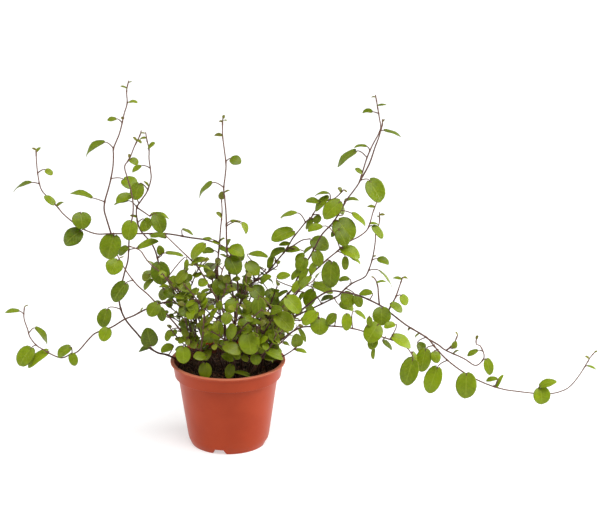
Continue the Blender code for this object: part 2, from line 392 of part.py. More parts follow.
# The points that a blade's outline has along one side, fewer on a small leaf.
def outline_stations(length):
    if length < TINY_LEAF:
        return (0.45,)
    if length < SMALL_LEAF:
        return (0.28, 0.7)
    return (0.2, 0.48, 0.8)


# The stalk's way from the blade's base back to the middle of the stem.
def stalk_path(leaf):
    base, foot = leaf["base"], leaf["foot"]
    reach = (base - foot).length
    bend = base - leaf["along"] * (STALK_BEND * reach)
    count = 1 if reach < LONG_STALK else 2
    return [base * (1 - t) ** 2 + bend * (2 * t * (1 - t)) + foot * t * t
            for t in [(i + 1) / count for i in range(count)]]


# One leaf as a closed body: flat strips from base to tip, thickened, with the stalk drawn out of
# the rim at the base. With grow it is that much larger, for clearance tests.
def leaf_bmesh(leaf, grow=0.0, stalk=True):
    body = bmesh.new()
    stations = outline_stations(leaf["length"])
    half = PETIOLE_WIDTH / 2
    pairs = [[body.verts.new(leaf["base"] + leaf["across"] * side * half) for side in (1, -1)]]
    pairs += [[body.verts.new(edge_point(leaf, u, side, grow)) for side in (1, -1)] for u in stations]
    for near, far in zip(pairs, pairs[1:]):
        body.faces.new([near[0], far[0], far[1], near[1]])
    tip = body.verts.new(leaf["tip"] + leaf["along"] * grow)
    body.faces.new([pairs[-1][0], tip, pairs[-1][1]])
    thickness = LEAF_THICKNESS + 2 * grow
    under = bmesh.ops.extrude_face_region(body, geom=body.faces[:], use_keep_orig=True)
    for vert in under["geom"]:
        if isinstance(vert, bmesh.types.BMVert):
            vert.co -= leaf["up"] * thickness
    for vert in body.verts:
        vert.co += leaf["up"] * (thickness / 2)
    if stalk and leaf["stalked"]:
        draw_stalk(body, leaf, thickness)
    for face in body.faces:
        face.material_index = 1
    bmesh.ops.recalc_face_normals(body, faces=body.faces[:])
    if body.calc_volume(signed=True) < 0:
        bmesh.ops.reverse_faces(body, faces=body.faces[:])
    return body


# The rim face at the blade's base, drawn out ring by ring along the stalk's path.
def draw_stalk(body, leaf, thickness):
    reach = math.hypot(PETIOLE_WIDTH / 2, thickness / 2) * 1.05
    rim = [f for f in body.faces if len(f.verts) == 4
           and all((v.co - leaf["base"]).length < reach for v in f.verts)][0]
    across, up = leaf["across"].copy(), leaf["up"].copy()
    last, heading = leaf["base"], -leaf["along"]
    corners = [((v.co - last).dot(across), (v.co - last).dot(up)) for v in rim.verts]
    for spot in stalk_path(leaf):
        step = spot - last
        if step.length > 0.01:
            turn = heading.rotation_difference(step.normalized())
            across.rotate(turn)
            up.rotate(turn)
            heading = step.normalized()
        rim = bmesh.ops.extrude_discrete_faces(body, faces=[rim])["faces"][0]
        for vert, (side, rise) in zip(rim.verts, corners):
            vert.co = spot + across * side + up * rise
        last = spot


# A closed surface's search tree, with its box.
def tree_of(body):
    tree = BVHTree.FromBMesh(body)
    low = Vector([min(v.co[i] for v in body.verts) for i in range(3)])
    high = Vector([max(v.co[i] for v in body.verts) for i in range(3)])
    return tree, low, high


def boxes_meet(a, b):
    return all(a[1][i] < b[2][i] and b[1][i] < a[2][i] for i in range(3))


def clashes(tried, placed):
    return any(boxes_meet(tried, other) and tried[0].overlap(other[0]) for other in placed)


def new_material(name, colour, roughness):
    material = bpy.data.materials.new(name)
    material.use_nodes = True
    shader = material.node_tree.nodes["Principled BSDF"]
    shader.inputs["Base Color"].default_value = (*colour, 1.0)
    shader.inputs["Roughness"].default_value = roughness
    shader.inputs["Metallic"].default_value = 0.0
    return material


def new_collection(name):
    collection = bpy.data.collections.new(name)
    bpy.context.scene.collection.children.link(collection)
    return collection


# An object from a bmesh in millimetres, in metres.
def object_from(body, name, collection, materials):
    mesh = bpy.data.meshes.new(name)
    bmesh.ops.scale(body, vec=(MM, MM, MM), verts=body.verts)
    body.to_mesh(mesh)
    body.free()
    for material in materials:
        mesh.materials.append(material)
    thing = bpy.data.objects.new(name, mesh)
    collection.objects.link(thing)
    return thing


def remove_object(thing):
    data = thing.data
    bpy.data.objects.remove(thing)
    if isinstance(data, bpy.types.Mesh):
        bpy.data.meshes.remove(data)
    else:
        bpy.data.curves.remove(data)


# A stem: a four-sided tube along the path that thins towards its tip, made a mesh.
def stem_object(path, thick, name, collection, materials):
    curve = bpy.data.curves.new(name, "CURVE")
    curve.dimensions = "3D"
    curve.bevel_depth = MM
    curve.bevel_resolution = 0
    curve.use_fill_caps = True
    spline = curve.splines.new("POLY")
    spline.points.add(len(path) - 1)
    for i, (point, spot) in enumerate(zip(spline.points, path)):
        point.co = (*(spot * MM), 1.0)
        point.radius = thick + (STEM_TIP_RADIUS - thick) * i / (len(path) - 1)
    tube = bpy.data.objects.new(name + "_curve", curve)
    collection.objects.link(tube)
    bpy.context.view_layer.update()
    mesh = bpy.data.meshes.new_from_object(tube.evaluated_get(bpy.context.evaluated_depsgraph_get()))
    body = bmesh.new()
    body.from_mesh(mesh)
    bmesh.ops.remove_doubles(body, verts=body.verts, dist=0.02 * MM)
    bmesh.ops.recalc_face_normals(body, faces=body.faces[:])
    body.to_mesh(mesh)
    body.free()
    mesh.materials.clear()
    for material in materials:
        mesh.materials.append(material)
    stem = bpy.data.objects.new(name, mesh)
    stem.matrix_world = tube.matrix_world
    collection.objects.link(stem)
    remove_object(tube)
    return stem


# The modifiers' result as the object's own mesh.
def apply_modifiers(thing):
    bpy.context.view_layer.update()
    mesh = bpy.data.meshes.new_from_object(thing.evaluated_get(bpy.context.evaluated_depsgraph_get()))
    old = thing.data
    thing.modifiers.clear()
    thing.data = mesh
    mesh.name = thing.name
    bpy.data.meshes.remove(old)


# The largest shell of a joined node alone: a pocket that the union sealed is filled that way.
def keep_outer_shell(thing):
    body = bmesh.new()
    body.from_mesh(thing.data)
    bmesh.ops.dissolve_degenerate(body, edges=body.edges[:], dist=SHORTEST_EDGE * MM)
    unseen = set(body.faces)
    shells = []
    while unseen:
        stack = [unseen.pop()]
        shell = []
        while stack:
            face = stack.pop()
            shell.append(face)
            for edge in face.edges:
                if len(edge.link_faces) != 2:
                    continue
                for other in edge.link_faces:
                    if other in unseen:
                        unseen.remove(other)
                        stack.append(other)
        shells.append(shell)
    shells.sort(key=len)
    bmesh.ops.delete(body, geom=[face for shell in shells[:-1] for face in shell], context="FACES")
    bmesh.ops.holes_fill(body, edges=[edge for edge in body.edges if edge.is_boundary], sides=4)
    bmesh.ops.dissolve_limit(body, angle_limit=FLAT_ANGLE, verts=body.verts[:], edges=body.edges[:],
                             delimit={"MATERIAL"})
    bmesh.ops.dissolve_verts(body, verts=[vert for vert in body.verts if len(vert.link_edges) == 2])
    body.to_mesh(thing.data)
    body.free()


def add_boolean(thing, collection, operation, solver="EXACT"):
    boolean = thing.modifiers.new(operation.lower(), "BOOLEAN")
    boolean.operation = operation
    boolean.solver = solver
    boolean.operand_type = "COLLECTION"
    boolean.collection = collection


# A body turned about the pot's axis from a profile of (radius, height), which runs down its outer side.
def turned_object(name, profile, sides, collection, material):
    mesh = bpy.data.meshes.new(name)
    mesh.from_pydata([(r * MM, 0.0, z * MM) for r, z in profile],
                     [(i, i + 1) for i in range(len(profile) - 1)], [])
    mesh.materials.append(material)
    thing = bpy.data.objects.new(name, mesh)
    collection.objects.link(thing)
    screw = thing.modifiers.new("turn", "SCREW")
    screw.axis = "Z"
    screw.steps = sides
    screw.render_steps = sides
    screw.use_merge_vertices = True
    screw.merge_threshold = 0.00001
    screw.use_normal_calculate = True
    return thing


# The inner wall's radius at a height.
def inner_radius(z):
    if z > BAND_FOOT_Z + WALL:
        share = (z - BAND_FOOT_Z - WALL) / (POT_HEIGHT - LIP_EASE - BAND_FOOT_Z - WALL)
        return BAND_FOOT_RADIUS + (BAND_TOP_RADIUS - BAND_FOOT_RADIUS) * share - WALL
    share = (z - WALL_FOOT_Z) / (BAND_FOOT_Z - WALL_FOOT_Z)
    return WALL_FOOT_RADIUS + (WALL_TOP_RADIUS - WALL_FOOT_RADIUS) * share - WALL


# A notch in the standing ring: a block that narrows upwards, pointing out along the given angle.
def notch_cutter(angle, collection):
    body = bmesh.new()
    made = bmesh.ops.create_cube(body, size=1.0)
    for vert in made["verts"]:
        wide = NOTCH_WIDTH if vert.co.z < 0 else NOTCH_TOP_WIDTH
        vert.co = Vector((FOOT_RADIUS + vert.co.x * NOTCH_REACH, vert.co.y * wide,
                          NOTCH_HEIGHT if vert.co.z > 0 else -CUT_SPARE))
    bmesh.ops.rotate(body, matrix=Matrix.Rotation(angle, 3, "Z"), verts=made["verts"])
    return mark_cutter(object_from(body, "notch_cutter", collection, []))


def round_cutter(name, x, y, low, high, radius, sides, collection):
    body = bmesh.new()
    made = bmesh.ops.create_cone(body, cap_ends=True, segments=sides, radius1=radius, radius2=radius,
                                 depth=high - low)
    bmesh.ops.translate(body, vec=(x, y, (low + high) / 2), verts=made["verts"])
    return mark_cutter(object_from(body, name, collection, []))


def mark_cutter(thing):
    thing.hide_render = True
    thing.display_type = "WIRE"
    return thing


def make_pot(parts, cutters):
    plastic = new_material("pot_plastic", (0.45, 0.085, 0.035), 0.42)
    lip_inner = BAND_TOP_RADIUS - WALL
    lip_foot = POT_HEIGHT - LIP_DEPTH
    floor_z = CHANNEL_HEIGHT + WALL
    outside = [(LIP_RADIUS - LIP_EDGE, POT_HEIGHT), (LIP_RADIUS, POT_HEIGHT - LIP_EDGE),
               (LIP_RADIUS, lip_foot + LIP_UNDER), (BAND_TOP_RADIUS, lip_foot - LIP_UNDER),
               (BAND_FOOT_RADIUS, BAND_FOOT_Z), (WALL_TOP_RADIUS, BAND_FOOT_Z - BAND_STEP),
               (WALL_FOOT_RADIUS, WALL_FOOT_Z), (FOOT_RADIUS + FOOT_FLARE, FOOT_FLARE_Z), (FOOT_RADIUS, 0.0)]
    under = [(FOOT_RADIUS - FOOT_WIDTH, 0.0), (FOOT_RADIUS - FOOT_WIDTH - CHANNEL_LEAN, CHANNEL_HEIGHT),
             (PAD_RADIUS + PAD_LEAN, CHANNEL_HEIGHT), (PAD_RADIUS, 0.0), (0.0, 0.0)]
    inside = [(0.0, WALL), (PAD_RADIUS - PAD_LEAN / 2, WALL), (PAD_RADIUS + PAD_LEAN / 2, floor_z),
              (WALL_FOOT_RADIUS - 2 * WALL, floor_z), (inner_radius(FLOOR_CORNER_Z), FLOOR_CORNER_Z),
              (inner_radius(BAND_FOOT_Z), BAND_FOOT_Z + WALL - BAND_STEP),
              (BAND_FOOT_RADIUS - WALL, BAND_FOOT_Z + WALL), (lip_inner, POT_HEIGHT - LIP_EASE),
              (lip_inner + LIP_EASE, POT_HEIGHT)]
    profile = outside + under + inside + outside[:1]
    pot = turned_object("pot", profile, POT_SIDES, parts, plastic)
    for i in range(NOTCH_COUNT):
        notch_cutter(math.radians(NOTCH_FIRST + i * 360.0 / NOTCH_COUNT), cutters)
    for i in range(DRAIN_COUNT):
        angle = math.radians((i + 0.5) * 360.0 / DRAIN_COUNT)
        round_cutter("drain_cutter", DRAIN_CIRCLE * math.cos(angle), DRAIN_CIRCLE * math.sin(angle),
                     CHANNEL_HEIGHT - CUT_SPARE, floor_z + CUT_SPARE, DRAIN_RADIUS, DRAIN_SIDES, cutters)
    add_boolean(pot, cutters, "DIFFERENCE")


# The peat fills the pot, with a lumpy top, and has a plain hole for each stem.
def make_soil(parts, cutters):
    peat = new_material("peat", (0.035, 0.02, 0.014), 0.95)
    floor_z = CHANNEL_HEIGHT + WALL + SOIL_GAP
    step_z = BAND_FOOT_Z + WALL
    edge = inner_radius(SOIL_TOP) - SOIL_GAP
    corner_z = FLOOR_CORNER_Z + 1.0
    top = [(r, SOIL_TOP) for r in SOIL_RINGS] + [(edge, SOIL_TOP - SOIL_EDGE_DROP)]
    sides = [(BAND_FOOT_RADIUS - WALL - SOIL_GAP, step_z + SOIL_GAP),
             (inner_radius(BAND_FOOT_Z) - SOIL_GAP, step_z - BAND_STEP + SOIL_GAP),
             (inner_radius(corner_z) - SOIL_GAP, corner_z),
             (WALL_FOOT_RADIUS - WALL - SOIL_FOOT_INSET, floor_z), (0.0, floor_z)]
    profile = top + sides
    soil = turned_object("soil", profile, POT_SIDES, parts, peat)
    apply_modifiers(soil)
    draw = random.Random(SOIL_SEED)
    for vert in soil.data.vertices:
        if vert.co.z > (SOIL_TOP - 0.1) * MM:
            vert.co.z += draw.uniform(-SOIL_LUMP, SOIL_LUMP) * MM
    for vine in VINES:
        x, y = vine["root"]
        round_cutter("hole_cutter", x, y, SOIL_TOP - ROOT_DEPTH - HOLE_SPARE, SOIL_TOP + HOLE_RISE,
                     HOLE_RADIUS, HOLE_SIDES, cutters)
    add_boolean(soil, cutters, "DIFFERENCE")


# The main stem's path: straight up out of its hole, then along the points read for it.
def vine_path(vine):
    x, y = vine["root"]
    foot = [Vector((x, y, SOIL_TOP - ROOT_DEPTH)), Vector((x, y, SOIL_TOP + ROOT_NECK))]
    rise = smooth_path(foot[1:] + [seen(*p) for p in vine["stem"]], STEM_STEP)
    return foot[:1] + thinned(rise, STEM_TOLERANCE)


# Every stem with its path: the main one of each vine, then its side shoots.
def all_stems():
    stems = []
    for vine in VINES:
        stems.append((vine, vine_path(vine), STEM_BASE_RADIUS, vine["leaves"]))
        for shoot in vine.get("shoots", []):
            path = thinned(smooth_path([seen(*p) for p in shoot["stem"]], STEM_STEP), STEM_TOLERANCE)
            stems.append((vine, path, SHOOT_BASE_RADIUS, shoot["leaves"]))
    return stems


# A plain round-sided stand-in of a stem or a pot, in millimetres, for the clearance tests.
def tree_of_object(thing):
    body = bmesh.new()
    body.from_mesh(thing.evaluated_get(bpy.context.evaluated_depsgraph_get()).data)
    bmesh.ops.scale(body, vec=(1 / MM, 1 / MM, 1 / MM), verts=body.verts)
    found = tree_of(body)
    body.free()
    return found


# The leaf at the first slide along the line of sight where it is clear of all that is placed.
def place_leaf(row, path, own_stems, others, own_leaves):
    for slide in SLIDES:
        leaf = leaf_frame(row, path, slide)
        blade = leaf_bmesh(leaf, grow=CLEARANCE, stalk=False)
        whole = leaf_bmesh(leaf, grow=CLEARANCE)
        blade_tree, whole_tree = tree_of(blade), tree_of(whole)
        blade.free()
        whole.free()
        kin = own_leaves + own_stems if leaf["stalked"] else own_leaves
        if not clashes(whole_tree, others) and not clashes(blade_tree, kin):
            return leaf
    return None


def make_vines(parts, pot, soil):
    bark = new_material("stem_bark", (0.16, 0.06, 0.04), 0.6)
    green = new_material("leaf_green", (0.12, 0.24, 0.03), 0.45)
    fixed = [tree_of_object(pot), tree_of_object(soil)]
    stems = [(vine, path, stem_object(path, thick, vine["name"], parts, [bark, green]), rows)
             for vine, path, thick, rows in all_stems()]
    stem_trees = [(vine, tree_of_object(stem)) for vine, _, stem, _ in stems]
    leaf_trees = []
    gathered = {vine["name"]: [] for vine in VINES}
    for vine, path, stem, rows in stems:
        own_stems = [tree for other, tree in stem_trees if other is vine]
        for row in rows:
            others = fixed + [tree for other, tree in stem_trees + leaf_trees if other is not vine]
            own_leaves = [tree for other, tree in leaf_trees if other is vine]
            leaf = place_leaf(row, path, own_stems, others, own_leaves)
            if leaf is None:
                continue
            body = leaf_bmesh(leaf)
            leaf_trees.append((vine, tree_of(body)))
            gathered[vine["name"]].append(body)
    for vine in VINES:
        own = [stem for other, _, stem, _ in stems if other is vine]
        joined = new_collection(vine["name"] + "_pieces")
        for shoot in own[1:]:
            parts.objects.unlink(shoot)
            joined.objects.link(shoot)
        for body in gathered[vine["name"]]:
            object_from(body, "leaf", joined, [bark, green])
        add_boolean(own[0], joined, "UNION", "MANIFOLD")
        apply_modifiers(own[0])
        keep_outer_shell(own[0])
        own[0].name = vine["name"]
        for thing in list(joined.objects):
            remove_object(thing)
        bpy.data.collections.remove(joined)


def main():
    for thing in list(bpy.data.objects):
        bpy.data.objects.remove(thing)
    parts = new_collection("potted_wire_vine")
    pot_cutters = new_collection("pot_cutters")
    soil_cutters = new_collection("soil_cutters")
    make_pot(parts, pot_cutters)
    make_soil(parts, soil_cutters)
    bpy.context.view_layer.update()
    make_vines(parts, parts.objects["pot"], parts.objects["soil"])
    pot = parts.objects["pot"]
    apply_modifiers(pot)
    pot.data.shade_smooth()
    pot.data.set_sharp_from_angle(angle=SMOOTH_UNDER)


main()
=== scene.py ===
# A wire vine in a nursery pot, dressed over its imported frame: fine leaves, wiry stems, peat and the
# moulded pot. Rows and radii are in millimetres, and every mesh is made in metres.
import math

import bmesh
import bpy
import numpy as np
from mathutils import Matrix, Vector, kdtree


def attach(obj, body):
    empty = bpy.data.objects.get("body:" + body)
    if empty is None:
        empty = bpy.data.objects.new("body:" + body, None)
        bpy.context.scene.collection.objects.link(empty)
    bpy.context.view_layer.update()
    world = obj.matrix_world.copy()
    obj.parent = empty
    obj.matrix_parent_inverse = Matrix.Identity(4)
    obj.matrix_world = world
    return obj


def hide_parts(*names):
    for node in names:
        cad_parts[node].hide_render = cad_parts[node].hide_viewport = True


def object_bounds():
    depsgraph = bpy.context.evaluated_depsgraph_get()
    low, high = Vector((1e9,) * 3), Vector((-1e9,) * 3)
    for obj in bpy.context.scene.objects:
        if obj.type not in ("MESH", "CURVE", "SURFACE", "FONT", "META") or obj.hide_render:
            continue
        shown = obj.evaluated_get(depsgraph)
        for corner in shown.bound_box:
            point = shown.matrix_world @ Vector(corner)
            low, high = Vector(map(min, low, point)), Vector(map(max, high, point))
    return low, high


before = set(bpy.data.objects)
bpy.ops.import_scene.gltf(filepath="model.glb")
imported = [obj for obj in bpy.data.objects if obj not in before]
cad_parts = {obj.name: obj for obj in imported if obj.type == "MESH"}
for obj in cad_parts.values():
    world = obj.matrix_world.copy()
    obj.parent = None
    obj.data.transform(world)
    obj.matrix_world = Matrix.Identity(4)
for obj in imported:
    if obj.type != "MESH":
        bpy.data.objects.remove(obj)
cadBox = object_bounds()
mm = 0.001
print("frame loaded:", len(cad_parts), "nodes")

# Where the plant was measured from, and the grid that it was measured on
viewing = {"eye": (75.1, -2090.0, 884.7), "target": (75.1, 0.0, 195.7), "lens": 128.6,
           "gridCentre": (76.0, 196.2), "gridRise": 0.963}
eye = Vector(viewing["eye"])
target = Vector(viewing["target"])
viewUp = Vector((1.0, 0.0, 0.0)).cross(target - eye).normalized()

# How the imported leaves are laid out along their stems
layout = {"stemStep": 8.0, "stemTolerance": 0.5, "tinyLeaf": 7.5, "ratio": 0.84, "stalkDrop": 3.0,
          "arch": 0.09, "thickness": 0.75, "soilTop": 79.0, "rootDepth": 12.0, "rootNeck": 3.0, "found": 0.2,
          "slides": (0, -3, 3, -6, 6, -9, 9, -12, 12, -16, 16, -20, 20, -25, 25, -30, 30, -36, 36)}

# Each vine: its root in the peat (x, y), the way its stem goes, its leaves, and its side shoots.
# A stem's points are (x, z, depth): the place on the view's grid where the point is seen, and how
# far behind the pot's axis it lies. A leaf is (base x, base z, tip x, tip z, how much further back
# the tip is, how far the upper face leans to the viewer, and where it is narrow or broad its width).
vines = [
    {"name": "vine_far_left", "root": (-2, 20),
     "stem": [(6, 120, 24), (12, 146, 27), (11, 184, 31), (3, 209, 34), (-16, 220, 36), (-38, 224, 38),
              (-62, 228, 40), (-90, 228, 42), (-118, 228, 44), (-134, 228, 45), (-150, 235, 46),
              (-166, 248, 46), (-173.5, 257, 45), (-184, 268, 44), (-190, 276, 42), (-193, 290, 40),
              (-194.5, 304, 38), (-195, 317, 37)],
     "leaves": [(-201, 282, -218.5, 273, 4, 0.1, 14), (-176, 260, -186.5, 268, -3, 0.9, 8),
                (-172, 260, -167, 262, 1, 0.3), (-185, 296, -178, 291, -3, 0.6),
                (-196, 318, -199.5, 319.5, 1, 0.3), (-194, 318, -190.5, 320.5, -1, 0.3),
                (-149, 250, -147.5, 233, -8, 1, 19), (-149, 231, -166, 217, -6, 0.9, 19),
                (-115, 226, -122, 201, -6, 1, 22), (-44, 232.5, -33, 227, 2, 0.1),
                (-62, 224, -79, 227.5, 3, 0.1, 11)],
     "shoots": [{"stem": [(-118, 228, 44), (-123, 245, 48), (-125, 253, 50), (-124.5, 262, 52),
                          (-121, 275, 55), (-118.5, 285, 57), (-116, 300, 60), (-115.5, 313, 62),
                          (-115.5, 319, 63), (-110, 333, 65), (-107.5, 342, 66), (-104.5, 356, 67),
                          (-101.5, 367, 67), (-102, 380, 66), (-100, 391, 65)],
                 "leaves": [(-138.5, 266.5, -160, 271, 3, 0.05, 15), (-105, 286, -92, 277, -8, 0.8, 15),
                            (-125.5, 325, -144.5, 310.5, 4, 0.25, 17), (-113, 350.5, -122, 349, -1, 0.4),
                            (-110, 351, -106.5, 353, 1, 0.2), (-99.5, 368.5, -91, 368, -2, 0.2),
                            (-104, 383.5, -108.5, 385.5, 0, 0.2), (-99.5, 388.5, -96.5, 390, 0, 0.2)]}]},
    {"name": "vine_left_middle", "root": (-14, 12),
     "stem": [(-20, 104, 14), (-28, 127, 17), (-34, 137, 18), (-51, 154, 20), (-60, 164, 21),
              (-66, 174, 22), (-69.5, 198, 24), (-75.5, 216, 25), (-88, 232, 26), (-91.5, 245, 27),
              (-91.5, 256, 27), (-86, 265, 26), (-81, 273, 25), (-77, 286, 23), (-77.5, 296, 21),
              (-79, 308, 20), (-79, 318, 19), (-81, 327, 18), (-82.5, 336, 17)],
     "leaves": [(-87.5, 300, -96.5, 294, -2, 0.5, 7), (-79.5, 319.5, -73, 325, -2, 0.5),
                (-83.5, 329.5, -88.5, 329, 0, 0.3), (-89, 281, -94, 264, -7, 1, 14),
                (-87.5, 281.5, -84.5, 284, 0, 0.3), (-98, 268.5, -113, 262, -6, 0.7, 11),
                (-101, 263, -115, 259.5, 2, 0.1, 9), (-94, 246, -98.5, 247.5, -1, 0.5),
                (-84, 243, -80, 231, 5, 0.8, 14), (-66, 206, -69, 215, -3, 1),
                (-61, 207.5, -43.5, 204.5, 3, 0.05, 12), (-69, 197, -66, 173.5, -6, 1, 19),
                (-79, 184, -85, 179, -3, 0.6), (-75.5, 179, -84, 168, -3, 0.3, 8),
                (-35, 133.5, -35.5, 121.5, -2, 0.3, 6)],
     "shoots": [{"stem": [(-91.5, 256, 27), (-85, 251.5, 22), (-78, 246.5, 18)],
                 "leaves": [(-72, 249, -65, 229, -7, 1, 15), (-76, 248, -58, 244, 4, 0.1, 12)]}]},
    {"name": "vine_left_rim", "root": (-36, -2),
     "stem": [(-44, 90.5, -2), (-60, 98.6, -4), (-70, 101, -6), (-80, 108, -8), (-90, 120, -10),
              (-103.5, 137, -12), (-109, 152, -13), (-109.5, 166, -13), (-106.5, 177, -12),
              (-103.5, 189, -11), (-100.5, 201, -10), (-99.5, 221, -8), (-97.5, 238, -6),
              (-95.5, 250, -5), (-95.5, 262, -4), (-98, 276, -3), (-102, 290, -2), (-104, 300, -1),
              (-99, 308, 0), (-94, 321, 1), (-88.5, 332.5, 2), (-87, 338, 2)],
     "leaves": [(-98, 307.5, -90.5, 302, -3, 0.8), (-99, 309, -100, 313, 0, 0.5),
                (-92, 327, -95.5, 331, 0, 0.3), (-90.5, 327, -87, 324.5, 0, 0.3),
                (-87, 335, -83, 335, 0, 0.2), (-122, 147, -127, 128, -5, 1, 14),
                (-97, 241, -101, 221, -6, 1, 16), (-90, 213.5, -70, 220.5, -5, 0.5, 11),
                (-55, 108.5, -67, 102.5, -4, 0.6, 10), (-77, 108.5, -81, 127, -5, 1, 17),
                (-79, 106, -90, 102.5, 4, 0.4, 8)]},
    {"name": "vine_left_inner", "root": (-16, -2),
     "stem": [(-20, 104, -4), (-28, 137, -10), (-38, 152, -14), (-48, 166, -18), (-59, 179, -21),
              (-68, 187.5, -23), (-77, 195, -25), (-83, 202.5, -26), (-87.5, 209.5, -27),
              (-93, 212.5, -28), (-99, 214.5, -28)],
     "leaves": [(-101.5, 214, -110, 205, -3, 0.5, 9), (-49, 177, -36, 167, -5, 0.8, 13),
                (-41, 187.5, -51, 175.5, -5, 0.6, 12), (-51, 162, -36, 160, -3, 0.6, 10),
                (-40, 200, -41, 190, -2, 0.2, 5), (-30, 164, -24, 156, 3, 0.4)]},
    {"name": "vine_left_slope", "root": (-24, -10),
     "stem": [(-28, 100, -16), (-37, 112, -20), (-49, 128, -25), (-60, 141, -29), (-70, 152, -32),
              (-80, 163, -35), (-91, 173, -38), (-101, 186, -40), (-107.5, 197, -41), (-111.5, 205, -41)],
     "leaves": [(-111, 200, -118, 184.5, -8, 1, 17), (-103, 175, -116, 156, -6, 0.8, 16),
                (-70, 153, -79, 140, -5, 1, 14), (-68, 149, -64.5, 134.5, -3, 0.6, 9),
                (-57, 124.5, -61.5, 113.5, -3, 0.8, 7), (-40, 117.5, -49, 111.5, -3, 0.5, 8),
                (-107, 203, -104.5, 203.5, 0, 0.3)]},
    {"name": "vine_low_left", "root": (-30, 8),
     "stem": [(-32, 108, 8), (-38, 133, 6), (-44, 148, 4), (-52, 154, 2), (-64, 154.5, 1),
              (-83, 147, -18), (-95, 140.5, -24), (-104.5, 136.5, -27), (-118, 128, -30),
              (-133, 122.5, -32), (-140, 116.5, -33), (-152, 102.5, -34), (-159.5, 99.5, -34),
              (-169, 95.5, -34), (-181, 100.3, -33), (-187, 104, -32.5), (-195, 109.3, -31),
              (-201.3, 117.8, -30), (-203.5, 125.5, -28), (-207.4, 138, -27), (-207, 150, -26)],
     "leaves": [(-160, 107, -173, 97, -4, 0.7, 11), (-158.5, 100, -155, 87, -3, 0.8, 9),
                (-200, 106, -212, 87, -5, 1, 17), (-183, 102.5, -203.5, 85.5, -4, 0.5, 12),
                (-195.5, 127, -183, 110.5, 3, 0.2, 13), (-213, 145.5, -227, 144.5, 2, 0.2, 9),
                (-206, 150.5, -203, 152, 0, 0.2), (-121, 127, -127.5, 113.5, -5, 1, 13),
                (-89, 148.5, -85, 149, 0, 0.3)]},
    {"name": "vine_centre_tall", "root": (6, -4),
     "stem": [(8, 104, -5), (9, 146, -7), (5, 177, -8), (2, 194, -8), (0.7, 216, -8), (0.2, 247, -8),
              (-1.2, 265, -8), (-2.3, 276, -8), (-0.8, 290, -8), (0, 302, -8), (-2, 320, -8),
              (-3.5, 333, -8), (-3.5, 347, -8), (-3, 352, -8)],
     "leaves": [(-15, 281.5, -28, 266.5, 3, 0.2, 15), (5, 308, 15.5, 303.5, -4, 0.9, 11),
                (-5.5, 332.5, -12, 333, -1, 0.4), (-4, 347, -7.5, 348, 0, 0.4),
                (-3, 347, 0.5, 348.5, 0, 0.4), (-3, 351, -1.5, 354.5, 0, 0.6),
                (1, 272, 4, 274.5, 0, 0.3), (5, 241, 16, 239, 3, 0.1, 8),
                (16.5, 239.5, 21, 228, 2, 0.4, 8), (4, 213, 18, 205, -6, 0.8, 14),
                (4, 203, 12, 184.5, -8, 1, 17), (4, 216, 4.5, 222, -3, 0.8),
                (0.5, 203, -6, 206, -2, 0.2), (0, 187, 6, 185, -3, 0.5), (10, 157, 1, 144, -6, 0.9, 14),
                (7, 179, 15, 179.5, -2, 0.5), (15, 130.5, 11, 122, -3, 0.8, 7)]},
    {"name": "vine_centre_twin", "root": (-6, 4),
     "stem": [(-8, 104, 4), (-6, 140, 6), (-7.5, 157, 7), (-8.5, 190, 8), (-8, 203, 8), (-6.5, 220, 8),
              (-5.5, 234, 7), (-4, 250, 6), (-4.5, 263, 5), (-4.5, 270, 4)],
     "leaves": [(-4.5, 265, -4, 273, -2, 1), (-6, 246, -10, 250.5, -2, 0.8), (-7, 202, -9, 195, -3, 0.8),
                (-9, 217.5, -15, 219.5, -2, 0.4), (-6, 219, -1.5, 223.5, -2, 0.3),
                (-13, 210, -24, 208, -4, 0.5, 9), (-15, 222, -24, 223, 2, 0.1, 7),
                (-12, 186.5, -20, 183, -3, 0.6), (-7, 183, -1.5, 177.5, -4, 0.6),
                (-8, 179, -8, 162, -6, 1, 12), (-17.5, 168.5, -26, 164, -2, 0.3, 6),
                (-3, 213, 2, 209, -4, 0.6), (-3.3, 169, 10, 168, -3, 0.6, 10),
                (-4, 140, -10.5, 136, 2, 0.5, 5)]},
    {"name": "vine_left_diagonal", "root": (0, -14),
     "stem": [(-1, 104, -16), (-2, 140, -19), (-9, 157, -20), (-16, 170, -20), (-28, 191, -19),
              (-37, 201, -18), (-50, 214, -16), (-62, 226, -14)],
     "leaves": [(-63.5, 227, -78, 225, -3, 0.3, 9), (-22, 216.5, -35.5, 201, -4, 0.5, 12),
                (-20, 200.5, -36, 196.5, -3, 0.3, 9), (-28, 194, -15, 190, 3, 0.1, 8),
                (-20, 178, -28, 172.5, -4, 0.8, 10), (-8.5, 149, -16, 136.5, -3, 0.2, 7),
                (-19, 132, -17, 111, -6, 1, 17), (-10, 134, -6, 117, -5, 0.8, 11),
                (-17, 137.5, -26, 131, -4, 0.7, 10), (-27, 185, -32.7, 181.5, -2, 0.5)]},
    {"name": "vine_left_tuft", "root": (-28, -18),
     "stem": [(-27, 92, -24), (-25, 110, -30), (-23, 128, -34), (-23, 145, -36), (-25, 156, -38)],
     "leaves": [(-37, 156.5, -31, 142, -5, 1, 11), (-47, 149.5, -36, 140, -5, 0.8, 12),
                (-22, 145.5, -28.5, 141, -3, 0.5), (-44, 107, -44, 89.5, -6, 1, 15),
                (-21, 98, -33, 96, -6, 0.8, 11), (-26, 157, -20, 164, -3, 0.5),
                (-21.5, 89.5, -21, 72.5, -5, 1, 13)]},
    {"name": "vine_front", "root": (10, -24),
     "stem": [(8, 92, -30), (6, 108, -35), (9, 122, -39), (7, 134, -42), (3, 144, -44)],
     "leaves": [(22, 122, 26, 99, -8, 1, 21), (-2, 110, 15, 101, -7, 0.8, 14),
